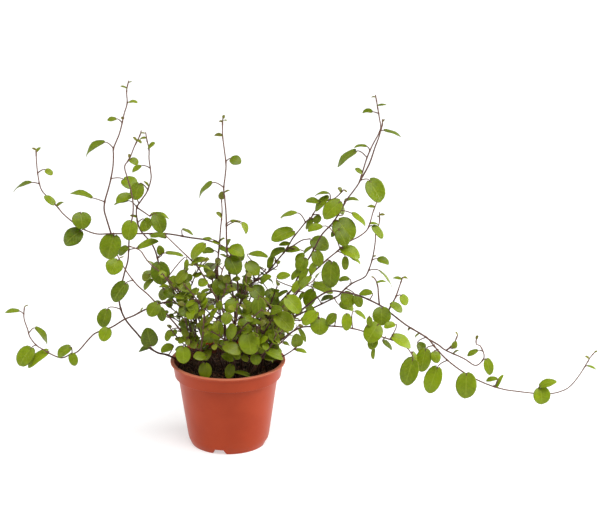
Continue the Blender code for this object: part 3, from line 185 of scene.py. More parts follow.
                (-3, 99, 7, 92, -5, 0.7, 9), (6, 88, 1.5, 73.5, -5, 0.9, 10),
                (3, 143, -2, 131.5, -5, 0.9, 11), (9, 130, 2, 115, 5, 0.9, 11),
                (8, 103, 13.5, 94, -5, 0.8, 8)]},
    {"name": "vine_front_low", "root": (24, -26),
     "stem": [(28, 84, -30), (32, 92, -34), (38, 100, -36), (46, 104, -34)],
     "leaves": [(30, 99.5, 31, 88, -5, 1, 11), (41, 103, 59, 95, 4, 0.6, 11),
                (17, 98, 22.5, 92, -4, 0.7), (16, 79, 9, 81, -6, 0.6)]},
    {"name": "vine_front_right", "root": (22, -14),
     "stem": [(30, 104, -20), (40, 124, -27), (50, 140, -33), (60, 152, -38), (68, 162, -42)],
     "leaves": [(62, 160, 76, 144, -6, 0.9, 16), (52, 142, 68, 125, -7, 1, 18),
                (46, 144, 58, 147.5, -4, 0.8, 10), (33, 159, 34, 138, -5, 1, 14),
                (28, 152, 17, 143, 5, 0.8, 12), (17, 139, 29, 133, 5, 0.8, 11),
                (34, 128, 40, 117, 6, 0.8, 12), (76, 170, 88, 182, -4, 0.7, 9),
                (37, 120, 37, 105, 3, 0.9, 12)]},
    {"name": "vine_right_tall", "root": (14, 6),
     "stem": [(19, 103, 6), (37, 130, 5), (55, 154, 4), (68, 169, 3), (74, 182, 2), (83, 198, 1),
              (90.5, 211.5, 1), (98.5, 227, 0), (111, 241.5, 0), (124, 264, 0), (130.5, 273, 0),
              (136.5, 282, -1), (139, 289.5, -1), (144.5, 308, -2), (150, 321.5, -3), (158.5, 339, -5),
              (157.5, 351, -6), (155, 367, -6), (153.5, 376, -6)],
     "leaves": [(150, 358, 140, 357.5, 1, 0.3, 8), (160.5, 365.5, 165, 365.5, 0, 0.3),
                (152.5, 373, 149, 373.5, 0, 0.2), (163, 338, 180, 332, 3, 0.1, 11),
                (133, 315.5, 114, 299.5, 4, 0.25, 17), (144, 321, 131.5, 320, 2, 0.1, 8),
                (138, 293.5, 132.5, 297.5, -2, 0.8), (147.5, 284.5, 160, 262.5, -6, 0.9, 19),
                (122.5, 263.5, 136.5, 264, 2, 0.1, 9), (117, 262, 100, 245, -5, 0.9, 17),
                (120, 249.5, 113, 262, 3, 0.3, 9), (130, 249, 144, 237.5, 2, 0.35, 10),
                (115, 242, 129, 221, -8, 1, 23), (90, 167, 82, 151, 4, 0.9, 14),
                (53, 181, 66, 185, 5, 0.5, 10), (81, 202, 74, 188, -5, 0.9, 13),
                (62.6, 166.7, 51.3, 159.3, 3, 0.4, 7), (37, 158, 47, 150, 3, 0.8, 9),
                (76, 188, 66.7, 179.5, 3, 0.6, 9), (88.4, 213.7, 79, 206, 2, 0.4, 6),
                (115, 232, 108, 224.5, -3, 0.5, 6)],
     "shoots": [{"stem": [(138, 285, -1), (147, 302, 4), (153, 320, 7), (157, 331, 7), (160.5, 344, 6),
                          (160.5, 350, 5)],
                 "leaves": [(161, 347, 163, 350, 0, 0.2)]}]},
    {"name": "vine_right_upper", "root": (26, 0),
     "stem": [(30, 103, -3), (48, 128, -8), (66, 154, -12), (79, 174, -15), (90.5, 187.5, -17),
              (105, 201.5, -18), (114, 209, -18), (125.5, 219, -18), (135.8, 224.5, -17),
              (144.5, 231.5, -16), (148, 240, -15), (151, 251, -14), (155, 262, -13)],
     "leaves": [(151, 257, 145, 257, 0, 0.3), (151, 236, 161, 223, -4, 0.5, 9),
                (116, 232, 124, 215, -7, 1, 14), (119, 212, 137, 202, -5, 0.6, 14),
                (129, 202, 138, 196, 2, 0.3, 7), (122.5, 203, 122.5, 189, -1, 0.1, 7),
                (108.5, 197.5, 106.5, 170, -6, 1, 18), (92, 209, 96, 193, -5, 0.8, 12),
                (98, 236, 84, 231, -4, 0.5, 10), (151, 237, 157, 237.5, 2, 0.2),
                (60.6, 156, 54.4, 145.5, 3, 0.7, 8), (83.2, 190, 75, 175.5, -3, 0.7, 7),
                (92.5, 196.6, 86.3, 184, 3, 0.7, 8), (80, 164.6, 75, 157, 3, 0.6, 6),
                (76, 177, 68.5, 165, -4, 0.6, 8)]},
    {"name": "vine_right_side", "root": (24, 14),
     "stem": [(30, 103, 17), (50, 124, 22), (72, 140, 26), (92, 150, 28), (106, 157, 30),
              (115.5, 162, 30), (119.5, 166.5, 30), (129.5, 175, 30), (140.5, 180.5, 30),
              (145, 185.5, 30), (150, 200, 29), (153, 217, 27), (154, 229.5, 25), (157.5, 240, 24),
              (157.5, 251, 23)],
     "leaves": [(126, 180, 116, 178, -2, 0.4, 8), (158, 188, 170.5, 171.5, 3, 0.1, 12),
                (156, 201, 167.5, 196, -3, 0.6, 9), (158.5, 248, 163.5, 248, 0, 0.3),
                (157, 247, 154.5, 247, 0, 0.3), (121.5, 165, 129, 150, -5, 1, 14),
                (133, 162, 138, 149.5, -3, 0.7, 10), (117, 152, 131, 147, 5, 0.6, 13),
                (109.5, 160.5, 97, 157, 2, 0.3, 9), (90, 174, 110, 165, -4, 0.4, 13),
                (151, 203, 154.5, 204.5, 0, 0.2), (83, 150, 90, 143.5, -3, 0.8),
                (61.5, 124, 48.5, 123, -3, 0.5, 6)]},
    {"name": "vine_far_right", "root": (34, -8),
     "stem": [(42, 106, -14), (62, 131, -20), (84, 152, -25), (104, 166, -28), (121, 165.5, -29),
              (136.5, 162, -30), (157.5, 152, -31), (169.5, 143, -32), (184.5, 131, -33),
              (199.5, 121.5, -34), (208, 115.5, -34), (215.5, 106, -34), (227.5, 93, -33),
              (245.5, 79.2, -32), (266, 68.4, -30), (284.5, 62.2, -28), (300, 59.8, -26),
              (316, 57.9, -24), (332, 57.3, -22), (344, 60, -21), (353, 65, -20.5), (362, 76, -20),
              (370, 89, -19), (374, 96, -18), (378.5, 101.5, -18)],
     "leaves": [(323.5, 63.5, 325, 46, -5, 1, 17), (322.5, 65.5, 339.5, 71, 3, 0.3, 12),
                (278, 73.5, 267, 71, -1, 0.4, 7), (280, 75, 284.5, 78, 1, 0.3),
                (372, 95, 368.5, 97.5, 0, 0.4), (371, 87, 381, 83, 1, 0.2, 5),
                (378.5, 101.5, 381.5, 103, 0, 0.3), (247, 78.5, 246.5, 52, -6, 1, 20.5),
                (205, 104.5, 200, 80.5, -5, 1, 15), (217, 85, 207.5, 58, -5, 1, 17),
                (213.5, 102, 217, 90, -4, 0.9, 10), (149.5, 165, 136.5, 164, 3, 0.4, 10),
                (160, 149, 160, 130, -7, 1, 18), (197, 110.5, 203, 101, 3, 0.8, 11),
                (197, 119, 193.5, 117, 0, 0.2), (189, 127, 186.5, 124.5, 0, 0.4)],
     "shoots": [{"stem": [(208, 115.5, -34), (218, 109.5, -29), (226, 103.5, -26), (244, 95, -22),
                          (256, 87.5, -19), (263.5, 93, -17), (265, 99, -16), (261, 108.5, -15),
                          (257, 110, -15), (257, 116, -14)],
                 "leaves": [(267.5, 94, 272, 77.5, -3, 0.7, 10), (258, 103.5, 247.5, 98, -2, 0.3, 8),
                            (257, 115.5, 259, 119.5, 0, 0.3), (235, 102.5, 239, 104, 0, 0.3)]},
                {"stem": [(226, 103.5, -26), (230.5, 107, -23), (234.5, 112, -21), (238, 120, -20)],
                 "leaves": [(233.5, 106, 236, 113.5, -2, 0.9, 6), (238.5, 121.5, 235.5, 123.5, 0, 0.3)]},
                {"stem": [(166.5, 145.5, -32), (172.5, 157, -29), (174.5, 161, -28), (178, 171.5, -26),
                          (181.5, 182, -25)],
                 "leaves": [(180, 162, 186, 152, -2, 0.5, 10), (169.5, 153.5, 181, 144.5, -3, 0.5, 10),
                            (176.5, 181, 171.5, 181, -1, 0.5), (182.5, 180.5, 187, 180.5, 0, 0.3)]},
                {"stem": [(157.5, 152, -31), (156.5, 163.5, -27), (156, 171, -25), (154, 178, -24),
                          (151.5, 181.5, -23)],
                 "leaves": [(159, 177, 164.5, 177, 0, 0.2), (152, 181, 149, 182, 0, 0.3)]}]},
    {"name": "vine_right_low", "root": (30, -20),
     "stem": [(40, 106, -28), (55.5, 114, -34), (66, 122, -38), (77, 128, -41), (88, 129, -44),
              (108, 129.5, -48), (129.5, 127, -51), (147, 122, -53), (164.5, 116.5, -54),
              (174.5, 113, -54), (186, 106, -54), (190.5, 100, -53)],
     "leaves": [(192, 94, 183.5, 66.5, -5, 1, 18), (191.5, 101, 195, 88, 3, 0.4, 8),
                (171, 118.5, 190, 107, -3, 0.6, 13), (156, 131, 144.5, 113, -7, 0.9, 19),
                (153, 116, 148.5, 104.5, -4, 0.9, 10), (161, 113.5, 171, 104.5, 2, 0.4, 8),
                (152, 105, 150.5, 94, 0, 0.1, 6), (124, 142, 124, 124.5, -4, 0.8, 10),
                (133, 145, 143.5, 137, 2, 0.4, 7), (173, 131.5, 162.5, 128, -3, 0.7, 8),
                (147.5, 139, 147, 129, -1, 0.4, 6), (96, 138, 95, 120, -7, 1, 18),
                (93, 144, 79, 131, -2, 0.8, 13), (80, 119, 82, 112.5, -2, 0.6, 5),
                (49, 118, 55.5, 111.5, -3, 0.6, 6), (112, 142, 104, 131, -3, 0.7, 10)]},
    {"name": "vine_over_rim", "root": (40, 0),
     "stem": [(46, 90, -2), (58, 97, -3), (66, 102, -4), (73, 107.5, -5)],
     "leaves": [(73, 108, 72, 121, -5, 0.9, 12), (72, 104, 83, 101.5, 1, 0.3, 7)]},
    {"name": "vine_right_inner", "root": (12, 18),
     "stem": [(15, 108, 22), (18, 146, 28), (23, 171, 32), (36.8, 181.5, 34), (45, 189.5, 35),
              (53, 200, 35), (61, 210, 35), (68.5, 223, 34), (75, 231.5, 33), (82, 240.5, 32),
              (88, 246, 31), (92, 253, 30), (101, 262, 28), (112, 266, 26), (121, 275, 24)],
     "leaves": [(72, 250, 55.5, 245.5, 3, 0.15, 12), (68.5, 231, 47, 221, -6, 0.7, 16),
                (59, 221, 54.5, 216, -2, 0.7), (60, 211.5, 45, 203, -4, 0.4, 10),
                (62, 210, 76, 210.5, -4, 0.5, 10), (80, 206, 71, 198.5, -3, 0.5, 9),
                (24.5, 206.5, 43, 203, -4, 0.3, 10), (22, 197, 33, 184, -6, 0.9, 14),
                (27, 171, 38, 159, -6, 1, 16), (43, 168, 50, 157, -5, 0.9, 12),
                (104.5, 267.5, 92, 252, -3, 0.4, 10), (95, 262.5, 82, 262.5, -3, 0.5, 9),
                (105, 271, 91, 268.5, 3, 0.1, 8), (119, 271.5, 115, 277, -1, 0.6),
                (121.5, 274, 124.5, 272, 0, 0.3), (36, 176, 46, 183, -4, 0.7, 9),
                (96, 247, 91, 239, -4, 0.7, 8), (24.5, 186, 18, 172, -3, 0.6, 8),
                (48, 204, 43.5, 192, -2, 0.5, 7), (90, 243.5, 81.5, 233, 2, 0.5, 8)],
     "shoots": [{"stem": [(61, 210, 35), (69.5, 215.5, 32), (78, 221, 29), (86, 222.5, 26)],
                 "leaves": [(88.5, 221.5, 105, 212, -6, 0.9, 17)]}]},
    {"name": "vine_back_left", "root": (-20, 26),
     "stem": [(-26, 110, 40), (-34, 130, 56), (-40, 150, 70), (-46, 166, 82), (-58, 182, 92),
              (-70, 190, 98)],
     "leaves": [(-72, 188, -84, 178, 10, -0.8, 15), (-58, 170, -66, 158, 9, -0.8, 14),
                (-48, 180, -40, 192, 8, -0.6, 13), (-36, 146, -48, 140, 10, -0.8, 15),
                (-30, 130, -20, 122, 9, -0.7, 13), (-38, 138, -28, 148, 8, -0.6, 12),
                (-28, 112, -38, 104, 9, -0.8, 13), (-74, 194, -82, 200, 5, -0.4, 9)]},
    {"name": "vine_back_centre", "root": (4, 30),
     "stem": [(2, 112, 48), (-2, 140, 66), (-6, 166, 80), (-4, 188, 92), (4, 204, 100)],
     "leaves": [(8, 208, 16, 200, 10, -0.8, 14), (-12, 196, -20, 186, 10, -0.8, 14),
                (0, 176, 10, 168, 9, -0.7, 14), (-12, 158, -22, 152, 9, -0.8, 15),
                (2, 148, 14, 150, 9, -0.7, 13), (-4, 128, -14, 122, 9, -0.8, 14),
                (8, 122, 18, 112, 8, -0.8, 13), (0, 208, -6, 214, 4, -0.5, 9)]},
    {"name": "vine_back_right", "root": (26, 26),
     "stem": [(36, 112, 42), (48, 132, 58), (60, 150, 72), (74, 166, 84), (90, 178, 92)],
     "leaves": [(93, 176, 104, 168, 9, -0.8, 14), (80, 178, 74, 190, 8, -0.6, 13),
                (66, 150, 76, 142, 9, -0.8, 15), (56, 152, 48, 164, 8, -0.7, 13),
                (50, 126, 58, 116, 8, -0.8, 13), (40, 124, 30, 132, 8, -0.7, 12),
                (34, 106, 44, 100, 8, -0.7, 12), (92, 181, 99, 188, 4, -0.4, 9)]},
]


# The point seen at (x, z) on the view's grid, at a depth behind the pot's axis: the target moved
# across and up by the distances from the grid's centre, then carried along the eye's line to it
def seen(x, z, depth):
    across = x - viewing["gridCentre"][0]
    rise = (z - viewing["gridCentre"][1]) * viewing["gridRise"]
    sight = target + Vector((across, 0.0, 0.0)) + viewUp * rise - eye
    return eye + sight * ((depth - eye.y) / sight.y)


# A smooth curve through the points: between b and c the cubic whose slopes there are half of
# (c - a) and half of (d - b), with a point about every step
def smoothPath(points, step):
    ends = [points[0] * 2 - points[1]] + points + [points[-1] * 2 - points[-2]]
    path = []
    for a, b, c, d in zip(ends, ends[1:], ends[2:], ends[3:]):
        count = max(1, round((c - b).length / step))
        for i in range(count):
            t = i / count
            path.append(0.5 * (2 * b + (c - a) * t + (2 * a - 5 * b + 4 * c - d) * t * t
                               + (3 * b - a - 3 * c + d) * t * t * t))
    return path + [points[-1]]


# The path without its points that lie within the tolerance of a straight run: the farthest point
# is kept and both halves are thinned again
def thinned(path, tolerance):
    run = path[-1] - path[0]
    off = [(p - path[0]).cross(run).length / run.length for p in path[1:-1]]
    if not off or max(off) < tolerance:
        return [path[0], path[-1]]
    far = off.index(max(off)) + 1
    return thinned(path[:far + 1], tolerance)[:-1] + thinned(path[far:], tolerance)


# The place on the path nearest to a point: on each run the share t = (point - a).(b - a) / |b - a|^2,
# held between 0 and 1
def nearestOnPath(path, aim):
    best = None
    for a, b in zip(path, path[1:]):
        along = b - a
        t = min(1.0, max(0.0, (aim - a).dot(along) / along.length_squared))
        spot = a + along * t
        if best is None or (spot - aim).length < (best - aim).length:
            best = spot
    return best


# The depth of the path's point that is seen nearest to (x, z)
def pathDepth(path, x, z):
    return min(path, key=lambda p: (seen(x, z, p.y) - p).length).y


# A leaf's base, tip and stalk foot, and its directions: along runs from base to tip, across is
# square to it and to the lean, and up is square to both
def leafFrame(row, path, slide):
    baseX, baseZ, tipX, tipZ, tipBack, lean = row[:6]
    length = math.hypot(tipX - baseX, tipZ - baseZ)
    stalked = length >= layout["tinyLeaf"]
    depth = pathDepth(path, baseX, baseZ) + slide
    tip = seen(tipX, tipZ, depth + tipBack)
    base = seen(baseX, baseZ, depth)
    if not stalked:
        base = nearestOnPath(path, base)
    foot = nearestOnPath(path, base - Vector((0.0, 0.0, layout["stalkDrop"])))
    along = (tip - base).normalized()
    across = Vector((0.0, -lean, 1.0)).cross(along).normalized()
    return {"base": base, "tip": tip, "foot": foot, "along": along, "across": across,
            "up": along.cross(across), "length": (tip - base).length,
            "width": row[6] if len(row) > 6 else length * layout["ratio"], "stalked": stalked}


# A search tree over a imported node's corners, in millimetres
def packedCorners(node):
    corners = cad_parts[node].data.vertices
    tree = kdtree.KDTree(len(corners))
    for i, corner in enumerate(corners):
        tree.insert(corner.co / mm, i)
    tree.balance()
    return tree


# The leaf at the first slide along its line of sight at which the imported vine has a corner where
# the tip is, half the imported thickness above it; found is how near counts
def placeLeaf(row, path, corners):
    for slide in layout["slides"]:
        leaf = leafFrame(row, path, slide)
        if corners.find(leaf["tip"] + leaf["up"] * (layout["thickness"] / 2))[2] < layout["found"]:
            return leaf
    return None


# A stem is a main one, a side shoot or a twig; young is its colour at foot and tip
stemLook = {"step": 2.5, "radius": {"main": 1.12, "shoot": 0.92, "twig": 0.62}, "tipRadius": 0.58,
            "young": {"main": (0.1, 1.0), "shoot": (0.45, 1.0), "twig": (0.1, 0.6)},
            "sides": 8, "jointSwell": 0.4, "jointLength": 1.3}


# Each stem of a vine: its fine path as points, its radius, how young it is at foot and tip, and its
# leaves. The first stem stands in the peat.
def vineStems(vine):
    corners = packedCorners(vine["name"])
    x, y = vine["root"]
    foot = Vector((x, y, layout["soilTop"] - layout["rootDepth"]))
    neck = Vector((x, y, layout["soilTop"] + layout["rootNeck"]))
    runs = [([foot], [neck] + [seen(*p) for p in vine["stem"]], vine["leaves"])]
    for shoot in vine.get("shoots", []):
        runs.append(([], [seen(*p) for p in shoot["stem"]], shoot["leaves"]))
    stems = []
    for start, points, rows in runs:
        kind = "main" if start else "shoot"
        coarse = start + thinned(smoothPath(points, layout["stemStep"]), layout["stemTolerance"])
        leaves = [placeLeaf(row, coarse, corners) for row in rows]
        path = np.array([tuple(p) for p in start + smoothPath(points, stemLook["step"])])
        stems.append({"path": path, "radius": stemLook["radius"][kind], "young": stemLook["young"][kind],
                      "leaves": [leaf for leaf in leaves if leaf], "lost": leaves.count(None)})
    return stems


# Faces of closed tubes laid out one after another: corner (ring, side) has the number
# ring * sides + side; quads join neighbouring rings, and one face caps each end
def tubeFaces(rings, sides, copies=1):
    ring = np.arange(rings - 1)[:, None] * sides
    side = np.arange(sides)[None, :]
    after = (side + 1) % sides
    quads = np.stack([ring + side, ring + sides + side, ring + sides + after, ring + after], axis=-1)
    shift = np.arange(copies)[:, None] * rings * sides
    caps = np.concatenate([shift + np.arange(sides), shift + (rings - 1) * sides + np.arange(sides)[::-1]])
    return [(quads.reshape(1, -1, 4) + shift[:, :, None]).reshape(-1, 4), caps]


# Tubes along one path, or along several with as many points each: corners lie at
# path + radius * (cos a * side + sin a * up), where side is square to the path's direction and to
# the reference, and up is square to both
def tubeBlock(path, radius, sides, reference, growth):
    along = np.gradient(path, axis=-2)
    along /= np.linalg.norm(along, axis=-1, keepdims=True)
    side = np.cross(along, reference)
    side /= np.linalg.norm(side, axis=-1, keepdims=True) + 1e-9
    up = np.cross(side, along)
    angle = np.linspace(0.0, 2 * math.pi, sides, endpoint=False)[:, None]
    ring = np.cos(angle) * side[..., None, :] + np.sin(angle) * up[..., None, :]
    copies = len(path) if path.ndim == 3 else 1
    return {"points": path[..., None, :] + radius[..., None, None] * ring,
            "faces": tubeFaces(path.shape[-2], sides, copies), "growth": growth}


# A curve that leaves start toward the corner and ends at end: start (1-t)^2 + corner 2t(1-t) + end t^2
def bentCurve(start, corner, end, steps):
    t = np.linspace(0.0, 1.0, steps)[None, :, None]
    return start[:, None] * (1 - t) ** 2 + corner[:, None] * (2 * t * (1 - t)) + end[:, None] * t * t


# The growth colour of points: their tone, how young they are, and a mark that each finish reads
# its own way
def growthOf(tone, young=0.0, mark=0.0):
    return np.stack(np.broadcast_arrays(tone, young, mark), axis=-1)


# An object with the given data, in the scene
def addObject(name, data):
    added = bpy.data.objects.new(name, data)
    bpy.context.scene.collection.objects.link(added)
    return added


# A mesh from a bmesh that is then done with
def meshFrom(name, body):
    mesh = bpy.data.meshes.new(name)
    body.to_mesh(mesh)
    body.free()
    return mesh


# One object from blocks. A block has its points, its faces as arrays that share a corner count,
# the growth colour of each point, and uv if any. Points go from millimetres to metres here.
def pieceFrom(name, blocks, material, smooth=True):
    points = np.concatenate([block["points"].reshape(-1, 3) for block in blocks]) * mm
    starts = np.cumsum([0] + [block["points"].size // 3 for block in blocks])
    faces = []
    for start, block in zip(starts, blocks):
        for group in block["faces"]:
            faces += (group + start).tolist()
    mesh = bpy.data.meshes.new(name)
    mesh.from_pydata(points, [], faces)
    tints = [np.broadcast_to(block["growth"], block["points"].shape).reshape(-1, 3) for block in blocks]
    tint = np.hstack([np.concatenate(tints), np.ones((len(points), 1))])
    growth = mesh.color_attributes.new("growth", "FLOAT_COLOR", "POINT")
    growth.data.foreach_set("color", tint.astype(np.float32).ravel())
    spots = np.concatenate([np.broadcast_to(block.get("uv", np.zeros(2)), block["points"].shape[:-1] + (2,))
                            .reshape(-1, 2) for block in blocks])
    corners = np.zeros(len(mesh.loops), dtype=np.int32)
    mesh.loops.foreach_get("vertex_index", corners)
    mesh.uv_layers.new(name="UVMap").data.foreach_set("uv", spots[corners].astype(np.float32).ravel())
    body = bmesh.new()
    body.from_mesh(mesh)
    bmesh.ops.recalc_face_normals(body, faces=body.faces[:])
    body.to_mesh(mesh)
    body.free()
    mesh.polygons.foreach_set("use_smooth", [smooth] * len(mesh.polygons))
    mesh.materials.append(material)
    return addObject(name, mesh)


# Hands a piece over: it stands in for a imported node, which is hidden, and stays with the root
def handOver(piece, node):
    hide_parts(node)
    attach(piece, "root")


# Finishes


# The inputs of a material's shader
def shaderOf(material):
    return material.node_tree.nodes["Principled BSDF"].inputs


# A material with its shader's gloss set
def newMaterial(name, gloss):
    material = bpy.data.materials.new(name)
    material.use_nodes = True
    shaderOf(material)["Specular IOR Level"].default_value = gloss
    return material


# Links a socket to an input, or sets the input to a value
def feed(material, entry, value):
    if isinstance(value, bpy.types.NodeSocket):
        material.node_tree.links.new(value, entry)
    else:
        entry.default_value = value


# A node with its settings and what its inputs are fed
def addNode(material, kind, inputs=None, **settings):
    node = material.node_tree.nodes.new(kind)
    for key, value in settings.items():
        setattr(node, key, value)
    for key, value in (inputs or {}).items():
        feed(material, node.inputs[key], value)
    return node


# The result of a Math node on one, two or three values
def addMath(material, operation, *values, clamp=False):
    node = addNode(material, "ShaderNodeMath", dict(enumerate(values)), operation=operation, use_clamp=clamp)
    return node.outputs[0]


# A soft step: 0 below low, 1 above high, and 3t^2 - 2t^3 between them
def addStep(material, value, low, high):
    node = addNode(material, "ShaderNodeMapRange", {"Value": value, "From Min": low, "From Max": high},
                   interpolation_type="SMOOTHSTEP")
    return node.outputs["Result"]


# The same step taken from 1, so that it falls from 1 to 0
def addFall(material, value, low, high):
    return addMath(material, "SUBTRACT", 1.0, addStep(material, value, low, high))


# The value carried evenly from the range 0 to 1 onto the given range
def addRange(material, value, ends):
    node = addNode(material, "ShaderNodeMapRange", {"Value": value, "To Min": ends[0], "To Max": ends[1]})
    return node.outputs["Result"]


# tone * toneShare + noise * noiseShare + shift, held between 0 and 1
def addShade(material, tone, noise, shares):
    toneShare, noiseShare, shift = shares
    speckle = addMath(material, "MULTIPLY_ADD", noise, noiseShare, shift)
    return addMath(material, "ADD", addMath(material, "MULTIPLY", tone, toneShare), speckle, clamp=True)


# first * (1 - share) + second * share, or another blend of the two
def mixColours(material, share, first, second, blend="MIX"):
    node = addNode(material, "ShaderNodeMix", data_type="RGBA", blend_type=blend)
    for key, value in ((0, share), (6, first), (7, second)):
        feed(material, node.inputs[key], (*value, 1.0) if isinstance(value, tuple) else value)
    return node.outputs[2]


# The colour carried toward another one by mask * share
def addTint(material, colour, mask, share, other):
    return mixColours(material, addMath(material, "MULTIPLY", mask, share), colour, other)


# Noise over the object's own space, or over the place given, with about scale lumps to the metre
def addNoise(material, scale, detail, roughness, where=None):
    if where is None:
        where = addNode(material, "ShaderNodeTexCoord").outputs["Object"]
    node = addNode(material, "ShaderNodeTexNoise", {"Vector": where, "Scale": scale, "Detail": detail,
                                                    "Roughness": roughness})
    return node.outputs["Fac"]


# Feeds the shader a colour, a roughness and a bump of the given depth in metres
def finishWith(material, colour, roughness, height, depth):
    bump = addNode(material, "ShaderNodeBump", {"Distance": depth, "Height": height})
    for name, value in (("Base Color", colour), ("Roughness", roughness), ("Normal", bump.outputs["Normal"])):
        feed(material, shaderOf(material)[name], value)
    return material


# The three values that each point of a piece carries in its growth attribute
def splitGrowth(material):
    growth = addNode(material, "ShaderNodeAttribute", attribute_name="growth").outputs["Color"]
    return addNode(material, "ShaderNodeSeparateColor", {"Color": growth}).outputs


# In each finish a noise is (scale, detail, roughness), a shade is addShade's three shares, a step is
# its low and high end, and relief is the bump's depth in metres
leafSkin = {"deep": (0.072, 0.105, 0.0015), "light": (0.228, 0.305, 0.003), "vein": (0.32, 0.38, 0.04),
            "rim": (0.16, 0.12, 0.015), "young": (0.180, 0.142, 0.030), "under": (0.16, 0.20, 0.022),
            "mottle": (260.0, 4.0, 0.6), "shade": (0.8, 0.8, -0.32), "veinPairs": 6.0, "veinSlope": 2.1,
            "sideVeinStep": (0.42, 0.5), "ribStep": (0.02, 0.09), "veinShare": 0.3,
            "rimStep": (0.9, 1.0), "rimShare": 0.5, "underShare": 0.7, "veinDepth": -0.7,
            "mottleDepth": 0.6, "relief": 0.0002, "roughness": (0.28, 0.46), "gloss": 0.22,
            "glow": 0.1, "glowRadius": (0.4, 0.8, 0.1), "glowScale": 0.0015}


# Leaf: deep to light green by each leaf's own tone and a mottle; a midrib at the middle of v, side
# veins where veinPairs * u - veinSlope * |v| is half way between whole numbers, both paler and sunk;
# a brownish rim, olive where young
def leafFinish():
    look = leafSkin
    material = newMaterial("leafFinish", look["gloss"])
    tone, young, under = splitGrowth(material)[:3]
    uv = addNode(material, "ShaderNodeUVMap", uv_map="UVMap").outputs["UV"]
    spot = addNode(material, "ShaderNodeSeparateXYZ", {"Vector": uv}).outputs
    fromRib = addMath(material, "ABSOLUTE", addMath(material, "MULTIPLY_ADD", spot[1], 2.0, -1.0))
    mottle = addNoise(material, *look["mottle"])
    shade = addShade(material, tone, mottle, look["shade"])
    colour = mixColours(material, shade, look["deep"], look["light"])
    run = addMath(material, "SUBTRACT", addMath(material, "MULTIPLY", spot[0], look["veinPairs"]),
                  addMath(material, "MULTIPLY", fromRib, look["veinSlope"]))
    wave = addMath(material, "PINGPONG", run, 0.5)
    sideVeins = addMath(material, "MULTIPLY", addStep(material, wave, *look["sideVeinStep"]),
                        addMath(material, "SUBTRACT", 1.0, fromRib), clamp=True)
    veins = addMath(material, "MAXIMUM", sideVeins, addFall(material, fromRib, *look["ribStep"]))
    colour = addTint(material, colour, veins, look["veinShare"], look["vein"])
    rim = addStep(material, fromRib, *look["rimStep"])
    colour = addTint(material, colour, rim, look["rimShare"], look["rim"])
    colour = addTint(material, colour, under, look["underShare"], look["under"])
    colour = mixColours(material, young, colour, look["young"])
    height = addMath(material, "MULTIPLY_ADD", veins, look["veinDepth"],
                     addMath(material, "MULTIPLY", mottle, look["mottleDepth"]))
    shader = shaderOf(material)
    shader["Subsurface Weight"].default_value = look["glow"]
    shader["Subsurface Radius"].default_value = look["glowRadius"]
    shader["Subsurface Scale"].default_value = look["glowScale"]
    return finishWith(material, colour, addRange(material, mottle, look["roughness"]), height, look["relief"])


stemSkin = {"old": (0.056, 0.023, 0.015), "shoot": (0.205, 0.105, 0.072), "stalk": (0.140, 0.078, 0.046),
            "shaded": (0.6, 0.5, 0.5), "grain": (900.0, 3.0, 0.5), "shade": (0.4, 1.2, -0.35),
            "relief": 0.00012, "roughness": 0.5, "gloss": 0.25}


# Stem: purple-brown bark that turns to reddish tan as the shoot gets younger, darker in patches
def stemFinish():
    look = stemSkin
    material = newMaterial("stemFinish", look["gloss"])
    tone, young, stalk = splitGrowth(material)[:3]
    grain = addNoise(material, *look["grain"])
    colour = mixColours(material, young, look["old"], look["shoot"])
    colour = mixColours(material, stalk, colour, look["stalk"])
    dark = mixColours(material, 1.0, colour, look["shaded"], "MULTIPLY")
    colour = mixColours(material, addShade(material, tone, grain, look["shade"]), dark, colour)
    return finishWith(material, colour, look["roughness"], grain, look["relief"])


peatSkin = {"wet": (0.020, 0.009, 0.006), "dry": (0.205, 0.108, 0.054), "red": (0.20, 0.068, 0.030),
            "coarse": (180.0, 5.0, 0.65), "shade": (0.6, 1.6, -0.75), "fine": (1100.0, 3.0, 0.7),
            "fineDepth": 0.7, "relief": 0.0012, "roughness": 0.9, "gloss": 0.25}


# Peat: near black to brown by a coarse noise and by each crumb's tone, reddish here and there
def peatFinish():
    look = peatSkin
    material = newMaterial("peatFinish", look["gloss"])
    tone, red = splitGrowth(material)[:2]
    coarse = addNoise(material, *look["coarse"])
    fine = addNoise(material, *look["fine"])
    colour = mixColours(material, addShade(material, tone, coarse, look["shade"]), look["wet"], look["dry"])
    colour = mixColours(material, red, colour, look["red"])
    height = addMath(material, "ADD", coarse, addMath(material, "MULTIPLY", fine, look["fineDepth"]))
    return finishWith(material, colour, look["roughness"], height, look["relief"])


strawSkin = {"straw": (0.16, 0.085, 0.045), "pale": (0.50, 0.42, 0.30), "dirty": (0.6, 0.52, 0.45),
             "grain": (1500.0, 3.0, 0.5), "relief": 0.0002, "roughness": 0.8, "gloss": 0.3}


# Fibres and pale grains: straw to off-white by tone, dirtied by a fine grain
def strawFinish():
    look = strawSkin
    material = newMaterial("strawFinish", look["gloss"])
    grain = addNoise(material, *look["grain"])
    colour = mixColours(material, splitGrowth(material)[0], look["straw"], look["pale"])
    dirty = mixColours(material, 1.0, colour, look["dirty"], "MULTIPLY")
    return finishWith(material, mixColours(material, grain, dirty, colour), look["roughness"], grain,
                      look["relief"])
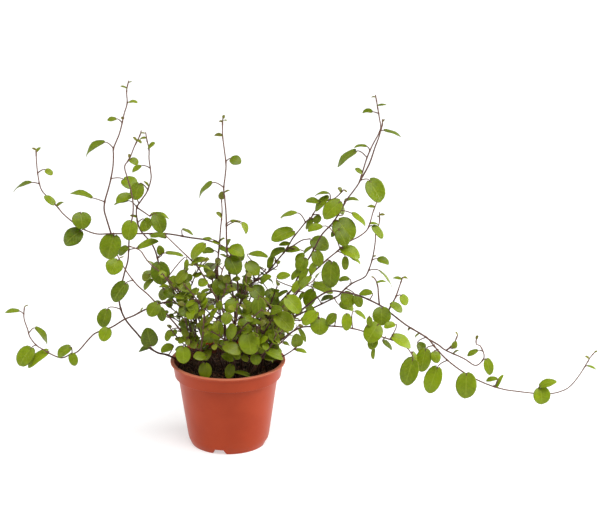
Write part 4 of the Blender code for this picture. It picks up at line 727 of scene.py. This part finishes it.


# The steps of lip, dust and the inside stain with painted shade are heights in metres, and so is the painted
# shadow line under the band
plasticSkin = {"body": (0.362, 0.040, 0.006), "deep": (0.325, 0.033, 0.004), "lipPale": (0.50, 0.19, 0.11),
               "dust": (0.33, 0.15, 0.09), "stainAndShade": (0.070, 0.026, 0.018), "cloud": (28.0, 4.0, 0.55),
               "cloudStep": (0.35, 0.7), "grain": (1400.0, 2.0, 0.5), "lines": (900.0, 2.0, 0.5),
               "lipStep": (0.0893, 0.0908), "lipShare": 0.6, "dustStep": (0.0, 0.02),
               "dustPatch": (0.45, 0.75), "dustShare": 0.2, "stainShadeStep": (0.0850, 0.0895),
               "stainShadeShare": 0.85, "shadowLine": 0.0737, "shadowLineReach": 0.0012, "shadowLineShare": 0.8,
               "lineDepth": 0.8, "grainDepth": 0.25, "relief": 0.00006, "roughness": (0.30, 0.40),
               "gloss": 0.2}


# Pot: terracotta-coloured plastic with fine turned lines by height and a faint cloud over it, a lip
# paler at its top, a little dust at the foot, a painted shadow line under the band, and an inside wall
# near the rim darkened as peat stain and as painted shade
def potFinish():
    look = plasticSkin
    material = newMaterial("potFinish", look["gloss"])
    where = addNode(material, "ShaderNodeTexCoord").outputs["Object"]
    height = addNode(material, "ShaderNodeSeparateXYZ", {"Vector": where}).outputs[2]
    turned = addNode(material, "ShaderNodeCombineXYZ", {"Z": height}).outputs["Vector"]
    cloud = addNoise(material, *look["cloud"])
    grain = addNoise(material, *look["grain"])
    lines = addNoise(material, *look["lines"], where=turned)
    colour = mixColours(material, addStep(material, cloud, *look["cloudStep"]), look["body"], look["deep"])
    # Paler toward the top of the lip, by height alone
    lip = addStep(material, height, *look["lipStep"])
    colour = addTint(material, colour, lip, look["lipShare"], look["lipPale"])
    dusty = addMath(material, "MULTIPLY", addFall(material, height, *look["dustStep"]),
                    addStep(material, cloud, *look["dustPatch"]))
    colour = addTint(material, colour, dusty, look["dustShare"], look["dust"])
    # Painted shade: the inside wall up toward the rim is darkened toward near black, partly as peat stain and
    # partly as shade in the pot's hollow
    stainedAndShaded = addMath(material, "MULTIPLY", addFall(material, height, *look["stainShadeStep"]),
                      splitGrowth(material)[0])
    colour = addTint(material, colour, stainedAndShaded, look["stainShadeShare"], look["stainAndShade"])
    # Painted shadow: a dark line on the wall just under the band, where the band's step shades it
    fromShadowLine = addMath(material, "ABSOLUTE", addMath(material, "SUBTRACT", height, look["shadowLine"]))
    shadowLine = addFall(material, fromShadowLine, 0.0, look["shadowLineReach"])
    colour = addTint(material, colour, shadowLine, look["shadowLineShare"], look["stainAndShade"])
    relief = addMath(material, "ADD", addMath(material, "MULTIPLY", lines, look["lineDepth"]),
                     addMath(material, "MULTIPLY", grain, look["grainDepth"]))
    return finishWith(material, colour, addRange(material, cloud, look["roughness"]), relief, look["relief"])


# Stems, stalks and buds


# A stem: its radius falls evenly from foot to tip, and swells by exp(-(d / jointLength)^2) at a
# distance d from each leaf's foot
def stemBlock(stem, tone):
    look = stemLook
    path = stem["path"]
    share = np.linspace(0.0, 1.0, len(path))
    radius = stem["radius"] + (look["tipRadius"] - stem["radius"]) * share
    feet = np.array([tuple(leaf["foot"]) for leaf in stem["leaves"]]).reshape(-1, 3)
    near = np.linalg.norm(path[:, None] - feet[None], axis=-1)
    swell = np.exp(-(near / look["jointLength"]) ** 2).sum(axis=1).clip(0.0, 1.0)
    young = np.interp(share, (0.0, 1.0), stem["young"])
    return tubeBlock(path, radius * (1.0 + look["jointSwell"] * swell), look["sides"], (0.0, 1.0, 0.0),
                     growthOf(tone, young)[:, None])


# The frames of several leaves as arrays, each with one row for a leaf
def leafArrays(leaves):
    packed = {key: np.array([tuple(leaf[key]) for leaf in leaves])
              for key in ("base", "foot", "along", "across", "up")}
    for key in ("length", "width"):
        packed[key] = np.array([leaf[key] for leaf in leaves])
    return packed


# How far a leaf is arched up at u from base to tip: arch * length * (1 - (2u - 1)^2)
def archAt(u, length):
    return layout["arch"] * length * (1 - (2 * u - 1) ** 2)


stalkLook = {"footRadius": 0.66, "baseRadius": 0.5, "endRadius": 0.08, "bend": 0.4, "stalkRings": 6,
             "ribRings": 4, "ribStart": 0.12, "ribEnd": 0.6, "ribSink": 0.42, "sides": 5, "tilt": 0.02,
             "mark": (0.35, 1.0)}


# Stalks: a bent curve from the stem to the blade, then on under the blade as a rib that thins out
def stalkBlock(leaves, tone):
    look = stalkLook
    a = leafArrays(leaves)
    reach = np.linalg.norm(a["base"] - a["foot"], axis=-1)
    bend = a["base"] - a["along"] * (look["bend"] * reach)[:, None]
    stalk = bentCurve(a["foot"], bend, a["base"], look["stalkRings"])
    u = np.linspace(look["ribStart"], look["ribEnd"], look["ribRings"])[None, :, None]
    length, width = a["length"][:, None, None], a["width"][:, None, None]
    lift = archAt(u, length) - (look["ribSink"] + bladeLook["crease"] * width)
    rib = a["base"][:, None] + a["along"][:, None] * u * length + a["up"][:, None] * lift
    path = np.concatenate([stalk, rib], axis=1)
    radius = np.concatenate([np.linspace(look["footRadius"], look["baseRadius"], look["stalkRings"]),
                             np.linspace(look["baseRadius"], look["endRadius"], look["ribRings"])])
    mark = np.linspace(*look["mark"], path.shape[1])
    return tubeBlock(path, radius, look["sides"], a["across"][:, None] + look["tilt"] * a["up"][:, None],
                     growthOf(tone, 1.0, mark)[:, None])


budLook = {"share": 0.7, "length": (1.6, 3.4), "radii": (0.35, 0.52, 0.48, 0.3, 0.06), "sides": 6,
           "ahead": 0.5, "upward": 0.9, "scatter": 0.25, "reference": (0.2, 1.0, 0.1),
           "growth": (0.6, 1.0, 0.3)}


# Buds: short pointed tubes in the leaves' axils, straight up to a little along the leaf
def budBlock(leaves, draw):
    look = budLook
    a = leafArrays(leaves)
    away = a["along"] * look["ahead"] + np.array((0.0, 0.0, look["upward"]))
    away = away + draw.normal(0.0, look["scatter"], away.shape)
    away /= np.linalg.norm(away, axis=-1, keepdims=True)
    length = draw.uniform(*look["length"], len(leaves))[:, None, None]
    t = np.linspace(0.0, 1.0, len(look["radii"]))[None, :, None]
    path = a["foot"][:, None] + away[:, None] * (t * length)
    return tubeBlock(path, np.array(look["radii"]), look["sides"], look["reference"],
                     growthOf(*look["growth"]))


# Blades


# Shape first; then what a leaf's tone, its youth and its olive tinge are drawn from. A leaf shorter
# than tiny starts to look young, and olive fades with the distance from the pot's axis.
bladeLook = {"stations": 9, "stationEnds": (0.10, 0.12), "round": 12, "thickness": 0.34,
             "fullLength": 12.0, "edgePower": 0.45, "roundness": 0.84, "fullness": 0.45, "spread": 1.08,
             "lobe": 0.08, "skew": 0.02, "sideBend": 0.03, "cup": 0.10, "cupRange": (-0.6, 1.4),
             "droop": 0.30, "droopRange": (0.2, 1.6), "droopStart": 0.62, "wave": 0.03,
             "halfWaves": 2.8, "crease": 0.02, "creaseWidth": 0.3, "underRise": -0.2,
             "tone": (0.55, 0.24), "tiny": 9.8, "tinySpan": 5.0, "tinyTone": 0.1,
             "youngRange": (0.7, 1.0), "oliveOdds": 0.35, "oliveRange": (0.2, 1.0), "oliveShare": 0.3,
             "oliveReach": 75.0}


# Blades: at u from base to tip a flat loop of half width w/2 sin(pi u^roundness)^fullness, on which
# v = cos(turn) runs across. Its height is an arch along the leaf, plus a cup by v^2, less a droop
# past the middle, plus a wave at the edge by v^3, less a crease at the midrib. The lobes at the
# base are drawn back by v^2 (1-u)^4. Half the thickness lies on each side, less on a short leaf.
def bladeBlock(leaves, draw):
    look = bladeLook
    a = leafArrays(leaves)
    count = len(leaves)
    first, last = look["stationEnds"]
    u = (0.5 - 0.5 * np.cos(np.linspace(first, math.pi - last, look["stations"])))[None, :, None]
    turn = np.linspace(0.0, 2 * math.pi, look["round"], endpoint=False)[None, None, :]
    v = np.cos(turn)
    rise = np.sign(np.sin(turn).round(6)) * np.abs(np.sin(turn)) ** look["edgePower"]
    length, width = a["length"][:, None, None], a["width"][:, None, None]
    lean, phase = draw.uniform(-1.0, 1.0, (2, count, 1, 1))
    cup = look["cup"] * draw.uniform(*look["cupRange"], (count, 1, 1))
    droop = look["droop"] * draw.uniform(*look["droopRange"], (count, 1, 1))
    half = 0.5 * look["spread"] * width * np.sin(math.pi * u ** look["roundness"]) ** look["fullness"]
    lift = archAt(u, length) + cup * width * v ** 2 * np.sin(math.pi * u)
    lift = lift - droop * length * (u - look["droopStart"]).clip(0.0, 1.0) ** 2
    lift = lift + look["wave"] * width * v ** 3 * np.sin(look["halfWaves"] * math.pi * u + math.pi * phase)
    lift = lift - look["crease"] * width * np.exp(-(v / look["creaseWidth"]) ** 2)
    thick = look["thickness"] * (0.25 + 0.25 * np.minimum(1.0, length / look["fullLength"]))
    along = u * length - look["lobe"] * length * v ** 2 * (1 - u) ** 4 + look["skew"] * length * lean * v
    aside = v * half + look["sideBend"] * width * lean * np.sin(math.pi * u)
    points = (a["base"][:, None, None] + a["along"][:, None, None] * along[..., None]
              + a["across"][:, None, None] * aside[..., None]
              + a["up"][:, None, None] * (lift + rise * thick)[..., None])
    tiny = np.clip((look["tiny"] - a["length"]) / look["tinySpan"], 0.0, 1.0)
    core = np.exp(-(np.hypot(a["base"][:, 0], a["base"][:, 1]) / look["oliveReach"]) ** 2)
    tone = np.clip(draw.normal(*look["tone"], count) + look["tinyTone"] * tiny, 0.0, 1.0)
    olive = (draw.random(count) < look["oliveOdds"]) * draw.uniform(*look["oliveRange"], count)
    olive = olive * look["oliveShare"] * core
    young = np.clip(olive + draw.uniform(*look["youngRange"], count) * tiny, 0.0, 1.0)
    return {"points": points, "faces": tubeFaces(look["stations"], look["round"], count),
            "growth": growthOf(tone[:, None, None], young[:, None, None], rise < look["underRise"]),
            "uv": np.stack(np.broadcast_arrays(u, 0.5 + 0.5 * v), axis=-1)}


# Side shoots in the middle of the plant: from and to are the heights between which they start and
# end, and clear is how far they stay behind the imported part's front
coreLook = {"shoots": 4, "tries": 28, "reach": 46.0, "from": (94.0, 165.0), "to": (124.0, 212.0),
            "endReach": 80.0, "clear": 18.0, "length": (24.0, 46.0), "outward": 0.55, "upward": 0.55,
            "scatter": 0.42, "bend": 0.3, "rings": 12, "leaves": 5, "firstLeaf": 0.3,
            "leafLength": (9.0, 14.5), "leafShrink": 0.45, "leafAhead": 0.4, "leafAside": 0.8,
            "leafScatter": 0.35, "leafLean": (0.2, 1.0), "stalk": (2.0, 4.5)}


# A leaf at a point of a shoot: it points sideways off the shoot's heading, to the given side, and its
# upper face leans out from the pot's axis
def shootLeaf(foot, heading, side, length, draw):
    look = coreLook
    out = Vector((foot[0], foot[1], 0.0)).normalized()
    aside = heading.cross(out).normalized() * side
    stray = Vector(draw.normal(0.0, look["leafScatter"], 3))
    along = (heading * look["leafAhead"] + aside * look["leafAside"] + stray).normalized()
    across = (out * draw.uniform(*look["leafLean"]) + Vector((0.0, 0.0, 1.0))).cross(along).normalized()
    base = foot + along * draw.uniform(*look["stalk"])
    return {"base": base, "tip": base + along * length, "foot": foot, "along": along, "across": across,
            "up": along.cross(across), "length": length, "width": length * layout["ratio"], "stalked": True}


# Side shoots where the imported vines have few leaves: from a point drawn on a stem the path
# foot + (heading t + bend t^2) length goes up and out, and is kept where it ends among the other
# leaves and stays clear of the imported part's front. Its leaves stand on alternate sides and get
# smaller toward its tip.
def coreShoots(stems, draw):
    look = coreLook
    path = np.concatenate([stem["path"] for stem in stems])
    inside = ((np.hypot(path[:, 0], path[:, 1]) < look["reach"]) & (path[:, 2] > look["from"][0])
              & (path[:, 2] < look["from"][1]))
    feet = path[inside]
    front = cadBox[0][1] / mm + look["clear"]
    shoots = []
    for attempt in range(look["tries"] if len(feet) else 0):
        foot = feet[draw.integers(0, len(feet))]
        out = foot * (1.0, 1.0, 0.0) / (np.hypot(foot[0], foot[1]) + 1.0)
        heading = out * look["outward"] + np.array((0.0, 0.0, look["upward"]))
        heading = heading + draw.normal(0.0, look["scatter"], 3)
        heading /= np.linalg.norm(heading)
        bend = draw.normal(0.0, look["bend"], 3)
        t = np.linspace(0.0, 1.0, look["rings"])[:, None]
        way = foot + (heading * t + bend * t * t) * draw.uniform(*look["length"])
        within = look["to"][0] < way[-1, 2] < look["to"][1] and np.hypot(*way[-1, :2]) < look["endReach"]
        within = within and way[:, 1].min() > front and way[:, 2].min() >= look["from"][0]
        if len(shoots) == look["shoots"] or not within:
            continue
        spots = np.linspace(look["firstLeaf"], 1.0, look["leaves"]) * (look["rings"] - 1)
        leaves = []
        for n, spot in enumerate(spots.astype(int)):
            length = draw.uniform(*look["leafLength"]) * (1.0 - look["leafShrink"] * n / look["leaves"])
            leaves.append(shootLeaf(Vector(way[spot]), Vector(heading), 1 - 2 * (n % 2), length, draw))
        shoots.append({"path": way, "radius": stemLook["radius"]["twig"], "young": stemLook["young"]["twig"],
                       "leaves": leaves, "lost": 0})
    return shoots


vineLook = {"seed": 59, "woodTone": (0.2, 0.9)}


# Each vine as two pieces, its wood and its leaves
def makeVines(leafMaterial, stemMaterial):
    draw = np.random.default_rng(vineLook["seed"])
    total, lost = 0, 0
    for vine in vines:
        stems = vineStems(vine)
        stems += coreShoots(stems, draw)
        leaves = [leaf for stem in stems for leaf in stem["leaves"]]
        stalked = [leaf for leaf in leaves if leaf["stalked"]]
        budded = [leaf for leaf in stalked if draw.random() < budLook["share"]]
        tone = draw.uniform(*vineLook["woodTone"])
        blocks = [stemBlock(stem, tone) for stem in stems] + [stalkBlock(stalked, tone)]
        if budded:
            blocks.append(budBlock(budded, draw))
        wood = pieceFrom(vine["name"] + "_stems", blocks, stemMaterial)
        foliage = pieceFrom(vine["name"] + "_leaves", [bladeBlock(leaves, draw)], leafMaterial)
        handOver(wood, vine["name"])
        handOver(foliage, vine["name"])
        total += len(leaves)
        lost += sum(stem["lost"] for stem in stems)
    print("vines:", len(vines), "with", total, "leaves;", lost, "rows with no packed leaf")


# Peat


# The bed and its waves, then crumbs, grains, and how any lump is dented, stretched and set down
peatLook = {"seed": 12, "middle": 0.5, "edge": 54.1, "rings": 46, "sectors": 160, "swell": 1.1,
            "edgeDrop": 0.8, "under": ((53.5, 75.6), (50.1, 74.9), (41.2, 10.0), (38.5, 5.7), (1.0, 5.7)),
            "waves": 30, "pitch": (0.09, 1.5), "swing": 0.42, "swingFall": 0.42,
            "crumbs": 1500, "crumbReach": 52.6, "crumbSize": 0.5, "crumbGamma": (1.6, 0.42),
            "crumbMost": 2.6, "redShare": 0.12, "redRange": (0.4, 1.0),
            "grains": 34, "grainReach": 51.0, "grainSize": (0.35, 1.0), "grainTone": (0.3, 1.0),
            "dent": (0.65, 1.15), "stretch": (0.55, 1.0), "perch": 0.25}

fibreLook = {"count": 170, "reach": 46.0, "rings": 7, "sides": 4, "halfLength": (1.5, 6.5), "bow": 1.6,
             "rise": (-0.2, 1.6), "lift": 0.35, "radius": (0.10, 0.26), "taper": 0.6, "tone": (0.0, 0.35)}


# The peat's height: the sum of swing * sin(headX x + headY y + phase) over many waves, less a fall
# at the edge by the sixth power of the distance out
def peatHeight(x, y, waves):
    height = np.zeros_like(x)
    for headX, headY, phase, swing in waves:
        height = height + swing * np.sin(headX * x + headY * y + phase)
    edge = np.hypot(x, y) / peatLook["edge"]
    return layout["soilTop"] + peatLook["swell"] * height - peatLook["edgeDrop"] * edge ** 6


# Random places inside a circle, evenly spread: the distance out goes by the root of a draw
def scatter(count, draw, reach):
    angle = draw.uniform(0.0, 2 * math.pi, count)
    out = reach * np.sqrt(draw.random(count))
    return out * np.cos(angle), out * np.sin(angle)


# Lumps: an icosahedron's corners, each pushed in or out, stretched, turned by a random unit
# quaternion and set down on the peat
def lumpBlock(sizes, x, y, waves, draw, growth):
    count = len(sizes)
    body = bmesh.new()
    bmesh.ops.create_icosphere(body, subdivisions=1, radius=1.0)
    corners = np.array([tuple(v.co) for v in body.verts])
    faces = np.array([[v.index for v in face.verts] for face in body.faces])
    body.free()
    shape = corners[None] * draw.uniform(*peatLook["dent"], (count, len(corners), 1))
    shape = shape * draw.uniform(*peatLook["stretch"], (count, 1, 3)) * sizes[:, None, None]
    q = draw.normal(size=(count, 4))
    w, i, j, k = (q / np.linalg.norm(q, axis=1, keepdims=True)).T
    turn = np.stack([1 - 2 * (j * j + k * k), 2 * (i * j - k * w), 2 * (i * k + j * w),
                     2 * (i * j + k * w), 1 - 2 * (i * i + k * k), 2 * (j * k - i * w),
                     2 * (i * k - j * w), 2 * (j * k + i * w), 1 - 2 * (i * i + j * j)], axis=-1)
    turn = turn.reshape(-1, 3, 3)
    place = np.stack([x, y, peatHeight(x, y, waves) + peatLook["perch"] * sizes], axis=-1)
    points = np.einsum("nab,ncb->nca", turn, shape) + place[:, None]
    joined = (faces[None] + (np.arange(count) * len(corners))[:, None, None]).reshape(-1, 3)
    return {"points": points, "faces": [joined], "growth": growth[:, None]}


# Fibres: thin tubes on the peat along straight + bow t^2 paths, highest at the middle, thinner
# toward both ends
def fibreBlock(waves, draw):
    look = fibreLook
    count = look["count"]
    x, y = scatter(count, draw, look["reach"])
    heading = draw.uniform(0.0, 2 * math.pi, count)[:, None]
    t = np.linspace(-1.0, 1.0, look["rings"])[None]
    half = draw.uniform(*look["halfLength"], count)[:, None]
    bow = draw.uniform(-look["bow"], look["bow"], count)[:, None]
    pathX = x[:, None] + half * t * np.cos(heading) - bow * t * t * np.sin(heading)
    pathY = y[:, None] + half * t * np.sin(heading) + bow * t * t * np.cos(heading)
    rise = draw.uniform(*look["rise"], count)[:, None] * (1 - t * t) + look["lift"]
    path = np.stack([pathX, pathY, peatHeight(pathX, pathY, waves) + rise], axis=-1)
    radius = draw.uniform(*look["radius"], count)[:, None] * (1.0 - look["taper"] * t * t)
    tone = draw.uniform(*look["tone"], (count, 1, 1))
    return tubeBlock(path, radius, look["sides"], (0.0, 0.0, 1.0), growthOf(tone))


# The bed is rings of growing radius at the peat's height, closed by the rings under it; crumbs,
# fibres and grains lie on it. A wave's swing falls as its pitch rises.
def makePeat(peatMaterial, strawMaterial):
    look = peatLook
    draw = np.random.default_rng(look["seed"])
    pitch = np.geomspace(*look["pitch"], look["waves"])
    heading, phase = draw.uniform(0.0, 2 * math.pi, (2, look["waves"]))
    swing = look["swing"] * (pitch / look["pitch"][0]) ** -look["swingFall"]
    waves = np.stack([pitch * np.cos(heading), pitch * np.sin(heading), phase, swing], axis=-1)
    under = np.array(look["under"])
    out = np.concatenate([np.linspace(look["middle"], look["edge"], look["rings"]), under[:, 0]])
    angle = np.linspace(0.0, 2 * math.pi, look["sectors"], endpoint=False)
    x, y = out[:, None] * np.cos(angle), out[:, None] * np.sin(angle)
    z = peatHeight(x, y, waves)
    z[look["rings"]:] = under[:, 1:]
    bed = {"points": np.stack([x, y, z], axis=-1), "faces": tubeFaces(len(out), look["sectors"]),
           "growth": growthOf(0.0)}
    sizes = look["crumbSize"] + draw.gamma(*look["crumbGamma"], look["crumbs"]).clip(0.0, look["crumbMost"])
    x, y = scatter(look["crumbs"], draw, look["crumbReach"])
    red = (draw.random(len(x)) < look["redShare"]) * draw.uniform(*look["redRange"], len(x))
    crumbs = lumpBlock(sizes, x, y, waves, draw, growthOf(draw.random(len(x)), red))
    x, y = scatter(look["grains"], draw, look["grainReach"])
    growth = growthOf(draw.uniform(*look["grainTone"], len(x)))
    grains = lumpBlock(draw.uniform(*look["grainSize"], len(x)), x, y, waves, draw, growth)
    litter = [grains, fibreBlock(waves, draw)]
    for piece in (pieceFrom("peat_bed", [bed], peatMaterial),
                  pieceFrom("peat_crumbs", [crumbs], peatMaterial, smooth=False),
                  pieceFrom("peat_fibres", litter, strawMaterial, smooth=False)):
        handOver(piece, "soil")
    print("peat: bed,", look["crumbs"], "crumbs,", fibreLook["count"], "fibres")


# Pot


# A corner is (distance out, height, how far its easing reaches along both sides)
potLook = {"sectors": 240, "easeSteps": 4, "closest": 0.02, "sharpAngle": 40.0,
           "outside": ((59.2, 91.0, 0.5), (60.0, 90.3, 0.4), (60.0, 89.0, 0.6), (57.4, 88.0, 0.8),
                       (55.5, 74.5, 0.5), (52.1, 74.2, 0.5), (42.3, 6.5, 3.0), (39.9, 1.2, 0.8),
                       (39.3, 0.0, 0.3), (37.5, 0.0, 0.3), (36.6, 4.0, 0.5), (17.6, 4.0, 0.8),
                       (16.0, 0.0, 0.4), (0.5, 0.0, 0.0)),
           "inside": ((0.5, 1.3, 0.0), (15.2, 1.3, 0.6), (17.0, 5.3, 0.8), (40.0, 5.3, 1.5),
                      (41.36, 9.0, 1.0), (50.6, 74.7, 0.6), (54.1, 75.5, 0.8), (55.9, 90.5, 0.3),
                      (56.4, 91.0, 0.2)),
           "notches": 4, "firstNotch": -102.5, "notchFoot": 7.25, "notchTop": 4.5, "notchHeight": 5.0,
           "ringRadius": 39.5, "ringInside": 35.5, "drains": 8, "drainSides": 40, "drainCircle": 27.0,
           "drainRadius": 3.5, "drainDepth": 6.0, "drainMiddle": 4.6}


# A profile whose corners are eased: each becomes a bent curve between points on its two sides, and
# points that nearly touch the one before are left out
def easedProfile(corners):
    spots = np.array([corner[:2] for corner in corners])
    ease = np.array([corner[2] for corner in corners])[:, None]
    before = np.roll(spots, 1, axis=0) - spots
    after = np.roll(spots, -1, axis=0) - spots
    start = spots + before / np.linalg.norm(before, axis=1, keepdims=True) * ease
    end = spots + after / np.linalg.norm(after, axis=1, keepdims=True) * ease
    profile = bentCurve(start, spots, end, potLook["easeSteps"]).reshape(-1, 2)
    apart = np.linalg.norm(np.diff(profile, axis=0), axis=1) > potLook["closest"]
    return profile[np.append(True, apart)]


# Faces of a closed ring of rings: quads all round both ways, on corners ring * sides + side
def ringFaces(rings, sides):
    ring, side = np.arange(rings)[:, None], np.arange(sides)[None, :]
    nextRing, nextSide = (ring + 1) % rings, (side + 1) % sides
    quads = np.stack([ring * sides + side, nextRing * sides + side, nextRing * sides + nextSide,
                      ring * sides + nextSide], axis=-1)
    return quads.reshape(-1, 4)


# The cutter for the drain holes: upright cylinders at even angles on a circle
def drainCutter():
    look = potLook
    radius = look["drainRadius"] * mm
    body = bmesh.new()
    for i in range(look["drains"]):
        turn = (i + 0.5) * 2 * math.pi / look["drains"]
        made = bmesh.ops.create_cone(body, cap_ends=True, segments=look["drainSides"], radius1=radius,
                                     radius2=radius, depth=look["drainDepth"] * mm)
        spot = Vector((math.cos(turn), math.sin(turn), 0.0)) * look["drainCircle"]
        spot.z = look["drainMiddle"]
        bmesh.ops.translate(body, vec=spot * mm, verts=made["verts"])
    return addObject("drainCutter", meshFrom("drainCutter", body))


# The pot: the eased profile turned about the upright axis. At the standing ring the height is
# raised to the notch's height over its top width, and ramps down to nothing at its foot width.
def makePot(material):
    look = potLook
    profile = easedProfile(look["outside"] + look["inside"])
    angle = np.linspace(0.0, 2 * math.pi, look["sectors"], endpoint=False)
    spacing = 2 * math.pi / look["notches"]
    aside = (angle - math.radians(look["firstNotch"]) + spacing / 2) % spacing - spacing / 2
    ramp = (look["notchFoot"] - look["ringRadius"] * np.abs(aside)) / (look["notchFoot"] - look["notchTop"])
    notch = look["notchHeight"] * ramp.clip(0.0, 1.0)
    out, height = profile[:, :1], np.repeat(profile[:, 1:], len(angle), axis=1)
    inRing = (out > look["ringInside"]) & (height < look["notchHeight"])
    height = np.where(inRing, np.maximum(height, notch), height)
    points = np.stack([out * np.cos(angle), out * np.sin(angle), height], axis=-1)
    inner = np.arange(len(profile)) >= len(easedProfile(look["outside"]))
    wall = {"points": points, "faces": [ringFaces(len(profile), len(angle))],
            "growth": growthOf(inner * 1.0)[:, None]}
    pot = pieceFrom("pot_wall", [wall], material)
    cutter = drainCutter()
    cut = pot.modifiers.new("drains", "BOOLEAN")
    cut.operation = "DIFFERENCE"
    cut.object = cutter
    bpy.context.view_layer.update()
    pierced = bpy.data.meshes.new_from_object(pot.evaluated_get(bpy.context.evaluated_depsgraph_get()))
    pot.modifiers.clear()
    pot.data = pierced
    bpy.data.objects.remove(cutter)
    pierced.set_sharp_from_angle(angle=math.radians(look["sharpAngle"]))
    handOver(pot, "pot")
    print("pot:", len(pierced.polygons), "faces")


# Studio


# A side lamp is (name, place in metres, width, height, watts)
studio = {"light": 0.36, "farthest": 50.0, "floor": (0.54, 0.54, 0.54), "floorGlow": 0.54, "floorSize": 6.0,
          "floorRoughness": 0.8, "floorGloss": 0.1, "aim": (0.05, 0.0, 0.15), "skyStrength": 2.7,
          "skySpread": 45.0, "skyPlace": (0.5, -0.7, 2.0),
          "lamps": (("rightLamp", (1.25, 0.1, 0.5), 0.6, 1.0, 15.0),
                    ("leftLamp", (-1.3, -0.1, 0.5), 0.6, 1.0, 6.0))}


# A lamp of the given kind that looks at the plant from a place in metres
def addLamp(name, kind, place, strength):
    light = bpy.data.lights.new(name, kind)
    light.energy = strength
    lamp = addObject(name, light)
    lamp.location = place
    lamp.rotation_euler = (Vector(studio["aim"]) - Vector(place)).to_track_quat("-Z", "Y").to_euler()
    return light


# The camera at the photo's place, a world that is white to look at and dimmer as a light, a wide
# soft light from above, a soft lamp at each side, and the floor
def makeStudio():
    scene = bpy.context.scene
    camera = addObject("viewCamera", bpy.data.cameras.new("viewCamera"))
    camera.data.lens = viewing["lens"]
    camera.location = eye * mm
    camera.rotation_euler = (target - eye).to_track_quat("-Z", "Y").to_euler()
    camera.data.clip_end = studio["farthest"]
    scene.camera = camera
    world = bpy.data.worlds.new("studioWorld")
    world.use_nodes = True
    tree = world.node_tree
    lightPath = tree.nodes.new("ShaderNodeLightPath")
    strength = tree.nodes.new("ShaderNodeMapRange")
    strength.inputs["To Min"].default_value = studio["light"]
    tree.links.new(lightPath.outputs["Is Camera Ray"], strength.inputs["Value"])
    tree.links.new(strength.outputs["Result"], tree.nodes["Background"].inputs["Strength"])
    tree.nodes["Background"].inputs["Color"].default_value = (1.0, 1.0, 1.0, 1.0)
    scene.world = world
    sky = addLamp("skyLamp", "SUN", studio["skyPlace"], studio["skyStrength"])
    sky.angle = math.radians(studio["skySpread"])
    for name, place, width, height, power in studio["lamps"]:
        light = addLamp(name, "AREA", place, power)
        light.shape = "RECTANGLE"
        light.size = width
        light.size_y = height
    floorMaterial = newMaterial("floorFinish", studio["floorGloss"])
    for name, value in (("Base Color", (*studio["floor"], 1.0)), ("Roughness", studio["floorRoughness"]),
                        ("Emission Color", (1.0, 1.0, 1.0, 1.0)), ("Emission Strength", studio["floorGlow"])):
        feed(floorMaterial, shaderOf(floorMaterial)[name], value)
    body = bmesh.new()
    bmesh.ops.create_grid(body, x_segments=1, y_segments=1, size=studio["floorSize"])
    floorMesh = meshFrom("studioFloor", body)
    floorMesh.materials.append(floorMaterial)
    addObject("studioFloor", floorMesh)
    scene.view_settings.view_transform = "Standard"
    print("studio: camera, floor and", len(studio["lamps"]) + 1, "lamps")


makeStudio()
makePot(potFinish())
makePeat(peatFinish(), strawFinish())
makeVines(leafFinish(), stemFinish())
